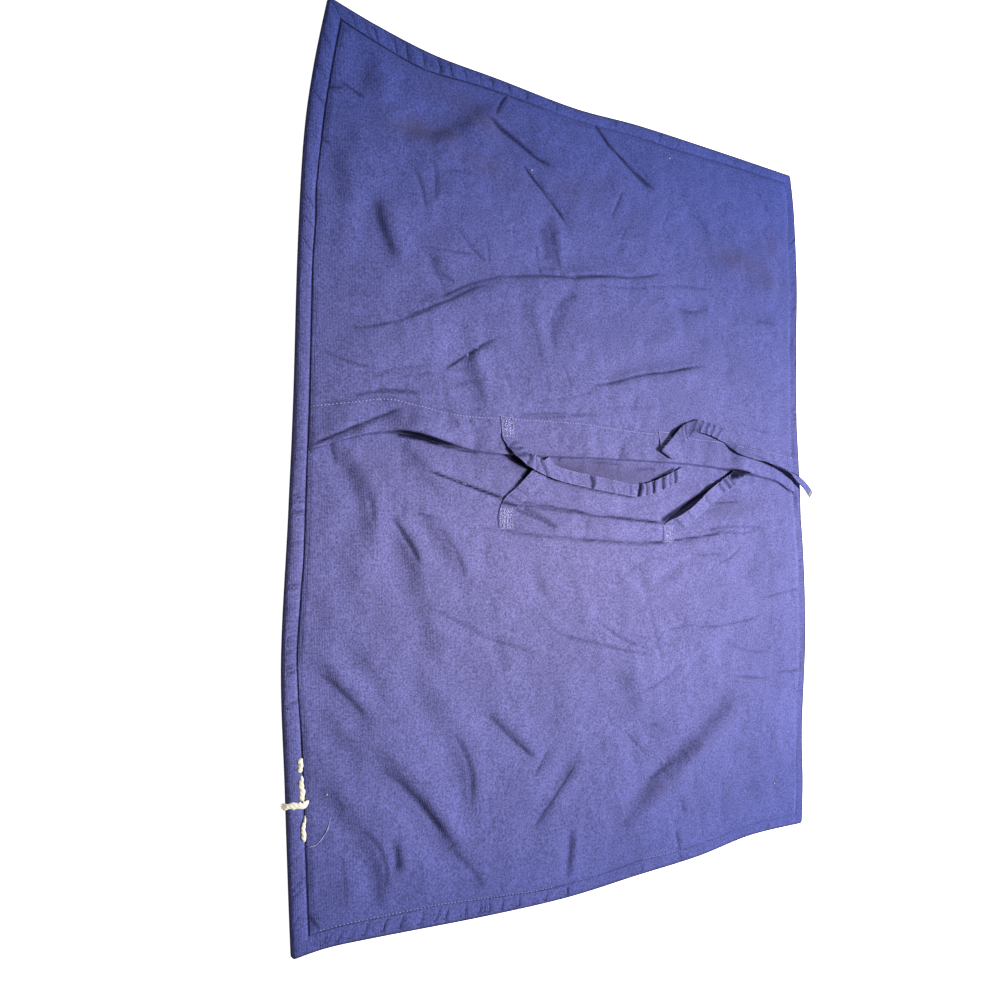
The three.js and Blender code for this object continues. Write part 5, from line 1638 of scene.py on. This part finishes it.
class SHAM_OT_box_stitches(bpy.types.Operator):
    """Sew each tie down with a box of stitches filled with zigzag"""
    bl_idname = "sham.box_stitches"
    bl_label = "Box stitches"

    def execute(self, context):
        sizes = context.scene.sham_sizes
        settings = stitch_settings(context, jitter=BOX_LEAN, Pitch=BOX_STITCH * MM, Length=BOX_STITCH * MM,
                                   Thickness=BOX_STITCH_THICK * sizes.stitch_thick)
        for box in BOXES:
            upper = tie_grid(box.tie, sizes).upper.reshape(-1, 3)
            lines = [self.on_tie(line, upper) for line in (self.border(box), *self.zigzags(box))]
            declare(stitched(box.name, lines, settings))
        return {"FINISHED"}

    def on_tie(self, line, upper):
        """A line in plan, raised to the nearest height of the tie below it."""
        gaps = np.linalg.norm(line[:, None] - upper[None, :, :2], axis=2)
        height = upper[gaps.argmin(axis=1), 2] + BOLD_PROUD
        return np.column_stack([line, height])

    def border(self, box):
        """The line round the box."""
        corners = [(box.x1, box.y2), (box.x1, box.y1), (box.x2, box.y1), (box.x2, box.y2), (box.x1, box.y2)]
        return evenly(np.array(corners, float), BOX_SAMPLES)

    def zigzags(self, box):
        """Short lines to and fro across the box, with bare places between them."""
        draw = np.random.default_rng(int(abs(box.x1) * 10))
        left, right, bottom, top = ZIGZAG_MARGINS
        lines = []
        for y in np.arange(box.y1 + bottom, box.y2 - top, ZIGZAG_ROWS):
            for x in np.arange(box.x1 + left, box.x2 - right, ZIGZAG_PITCH):
                if draw.random() < box.filled:
                    ends = draw.uniform(-ZIGZAG_UNEVEN, ZIGZAG_UNEVEN, 4)
                    stroke = [(x + ends[0], y + ends[1]), (x + ZIGZAG_LENGTH + ends[2], y + ends[3])]
                    lines.append(evenly(np.array(stroke), ZIGZAG_SAMPLES))
        return lines


# Mending
Strand = namedtuple("Strand", "path first last wide_axis flat")


def tube(strand, sides=THREAD_SIDES):
    """Corners and faces of a strand with closed ends, wide along one axis, which can be pressed flat."""
    path = np.asarray(strand.path, float)
    direction = np.gradient(path, axis=0)
    direction = direction / np.linalg.norm(direction, axis=1)[:, None]
    wide = np.array(strand.wide_axis, float)
    beside = wide - (direction @ wide)[:, None] * direction
    beside = beside / np.linalg.norm(beside, axis=1)[:, None]
    over = np.cross(beside, direction)
    angles = np.linspace(0, 2 * math.pi, sides, endpoint=False)
    share = np.linspace(0, 1, len(path))
    run = run_along(path)[:, None] + path[0, 1]
    ragged = 1 + RAGGED * noise(run, RAGGED_ROUND * np.cos(angles)[None], RAGGED_CELL, THREAD_SEED)
    taper = np.clip(1 - (2 * share - 1) ** THREAD_TAPER, THREAD_TIP, 1)
    girth = (strand.first + (strand.last - strand.first) * share) * taper
    ring = beside[:, None] * np.cos(angles)[:, None] + strand.flat * over[:, None] * np.sin(angles)[:, None]
    corners = (path[:, None] + ring * (girth[:, None] * ragged)[..., None]).reshape(-1, 3)
    faces = []
    for step in range(len(path) - 1):
        for side in range(sides):
            here = step * sides + side
            next_side = step * sides + (side + 1) % sides
            faces.append((here, here + sides, next_side + sides, next_side))
    faces.append(tuple(range(sides)))
    faces.append(tuple(range((len(path) - 1) * sides, len(path) * sides))[::-1])
    return corners, faces


def joined_tubes(name, strands, material):
    """One piece from several strands, given in millimetres."""
    corners = []
    faces = []
    for strand in strands:
        more, rings = tube(strand)
        first = len(corners)
        corners.extend((more * MM).tolist())
        faces.extend(tuple(first + k for k in ring) for ring in rings)
    return new_piece(name, corners, faces, material)


class SHAM_OT_mending(bpy.types.Operator):
    """Lay the thick mending stitches at the lower left, the loose thread end and the lint"""
    bl_idname = "sham.mending"
    bl_label = "Mending"

    def execute(self, context):
        sizes = context.scene.sham_sizes
        radius = sizes.mending_thick / MM / 2
        strands = []
        for stitch in MENDING:
            path = self.sewn(curve_through(stitch.path, MENDING_SAMPLES), sizes, radius)
            strands.append(Strand(path, stitch.first * radius, stitch.last * radius, (1, 0, 0), THREAD_FLAT))
        strands.append(Strand(self.wrapped(sizes), WRAPPED.first * radius, WRAPPED.last * radius, (0, 1, 0),
                              THREAD_FLAT))
        ivory = spun_thread("Mending thread", tuple(context.scene.sham_colours.mending), MENDING_PLY_MM)
        declare(joined_tubes("mending_thread", strands, ivory))

        loose = self.loose(curve_through(LOOSE_THREAD, LOOSE_SAMPLES), lower_sides, sizes, LOOSE_RADIUS)
        specks = []
        for place in LINT:
            sides = rim_sides if place[1] < 0 else upper_sides
            specks.append(self.loose(np.add(place, LINT_CURL), sides, sizes, LINT_RADIUS))
        declare(joined_tubes("loose_thread", [loose], sewing_thread(context)))
        declare(joined_tubes("lint", specks, ivory))
        return {"FINISHED"}

    def loose(self, plan, sides, sizes, radius):
        """A round strand that lies on a panel."""
        path = on_cloth(plan[:, 0], plan[:, 1], sides, sizes, LOOSE_PROUD)
        return Strand(path, radius, radius, (0, 0, 1), 1)

    def sewn(self, plan, sizes, radius):
        """A stitch whose ends go down into the seam beside the binding."""
        share = np.linspace(0, 1, len(plan))
        top = lower_sides(plan[:, 0], plan[:, 1], sizes)[1] + sizes.binding_crown / MM * MENDING_OVER
        height = top + radius * (MENDING_RISE - MENDING_DIP * (2 * share - 1) ** MENDING_DIP_POWER)
        return np.column_stack([plan, height])

    def wrapped(self, sizes):
        """The stitch that goes over the binding and round the sham's edge."""
        x, y = np.array(WRAPPED_AT)[:, None]
        over = sizes.binding_crown / MM + lower_sides(x, y, sizes)[1][0]
        path = [(x, y, share * over + rise) for x, y, share, rise in WRAPPED.path]
        return spline_rows(path, WRAPPED_STEP)


# Stage
class SHAM_OT_stage(bpy.types.Operator):
    """Make the floor, the light and the camera"""
    bl_idname = "sham.stage"
    bl_label = "Stage"

    def execute(self, context):
        self.floor(context)
        self.light(context)
        self.camera(context)
        return {"FINISHED"}

    def floor(self, context):
        """A wide light table, just under the sham."""
        corners = [(x * FLOOR_REACH, y * FLOOR_REACH, FLOOR_LEVEL)
                   for x, y in ((-1, -1), (1, -1), (1, 1), (-1, 1))]
        acrylic = lit_acrylic("Lit acrylic", tuple(context.scene.sham_colours.floor))
        new_piece("floor", corners, [(0, 1, 2, 3)], acrylic)

    def light(self, context):
        """A soft key from the lower right, as in the photograph, and an even fill."""
        scene = context.scene
        world = bpy.data.worlds.new("Soft room")
        world.use_nodes = True
        room = world.node_tree.nodes["Background"].inputs
        room["Color"].default_value = ROOM_LIGHT
        room["Strength"].default_value = ROOM_STRENGTH
        scene.world = world
        light = bpy.data.lights.new("Key", "AREA")
        light.shape = "DISK"
        light.size = KEY_SIZE
        light.energy = KEY_POWER
        lamp = bpy.data.objects.new("Key", light)
        lamp.location = KEY_PLACE
        aim = Vector(KEY_TARGET) - Vector(KEY_PLACE)
        lamp.rotation_euler = aim.to_track_quat("-Z", "Y").to_euler()
        scene.collection.objects.link(lamp)
        scene.view_settings.view_transform = "Standard"

    def camera(self, context):
        """The photograph's view: from over the left side, turned so that the sham stands upright in it."""
        data = bpy.data.cameras.new("Camera")
        data.sensor_width = CAMERA_SENSOR
        data.lens = CAMERA_LENS
        data.clip_start = CAMERA_NEAREST
        camera = bpy.data.objects.new("Camera", data)
        turn = Matrix((CAMERA_RIGHT, CAMERA_UP, CAMERA_BACK)).transposed()
        camera.matrix_world = Matrix.Translation(CAMERA_PLACE) @ turn.to_4x4()
        context.scene.collection.objects.link(camera)
        context.scene.camera = camera


class SHAM_PT_sidebar(bpy.types.Panel):
    """Lists the sham's operators and sizes"""
    bl_idname = "SHAM_PT_sidebar"
    bl_label = "Pillow Sham"
    bl_space_type = "VIEW_3D"
    bl_region_type = "UI"
    bl_category = "Pillow Sham"

    def draw(self, context):
        for operator in OPERATORS:
            self.layout.operator(operator.bl_idname)
        for group in (context.scene.sham_sizes, context.scene.sham_colours):
            for name in group.__annotations__:
                self.layout.prop(group, name)


OPERATORS = (
    SHAM_OT_stage, SHAM_OT_front_panel, SHAM_OT_back_panels, SHAM_OT_binding, SHAM_OT_ties,
    SHAM_OT_seam_stitches, SHAM_OT_box_stitches, SHAM_OT_mending,
)
CLASSES = (ShamSizes, ShamColours, *OPERATORS, SHAM_PT_sidebar)


def register():
    """Register the classes and put the sizes and colours on the scene."""
    for cls in CLASSES:
        bpy.utils.register_class(cls)
    bpy.types.Scene.sham_sizes = PointerProperty(type=ShamSizes)
    bpy.types.Scene.sham_colours = PointerProperty(type=ShamColours)


def unregister():
    """Take the sizes and colours off the scene and unregister the classes."""
    del bpy.types.Scene.sham_sizes
    del bpy.types.Scene.sham_colours
    for cls in reversed(CLASSES):
        bpy.utils.unregister_class(cls)


def main():
    """Build the sham on its stage."""
    register()
    bpy.ops.sham.stage()
    bpy.ops.sham.front_panel()
    bpy.ops.sham.back_panels()
    bpy.ops.sham.binding()
    bpy.ops.sham.ties()
    bpy.ops.sham.seam_stitches()
    bpy.ops.sham.box_stitches()
    bpy.ops.sham.mending()


if __name__ == "__main__":
    main()
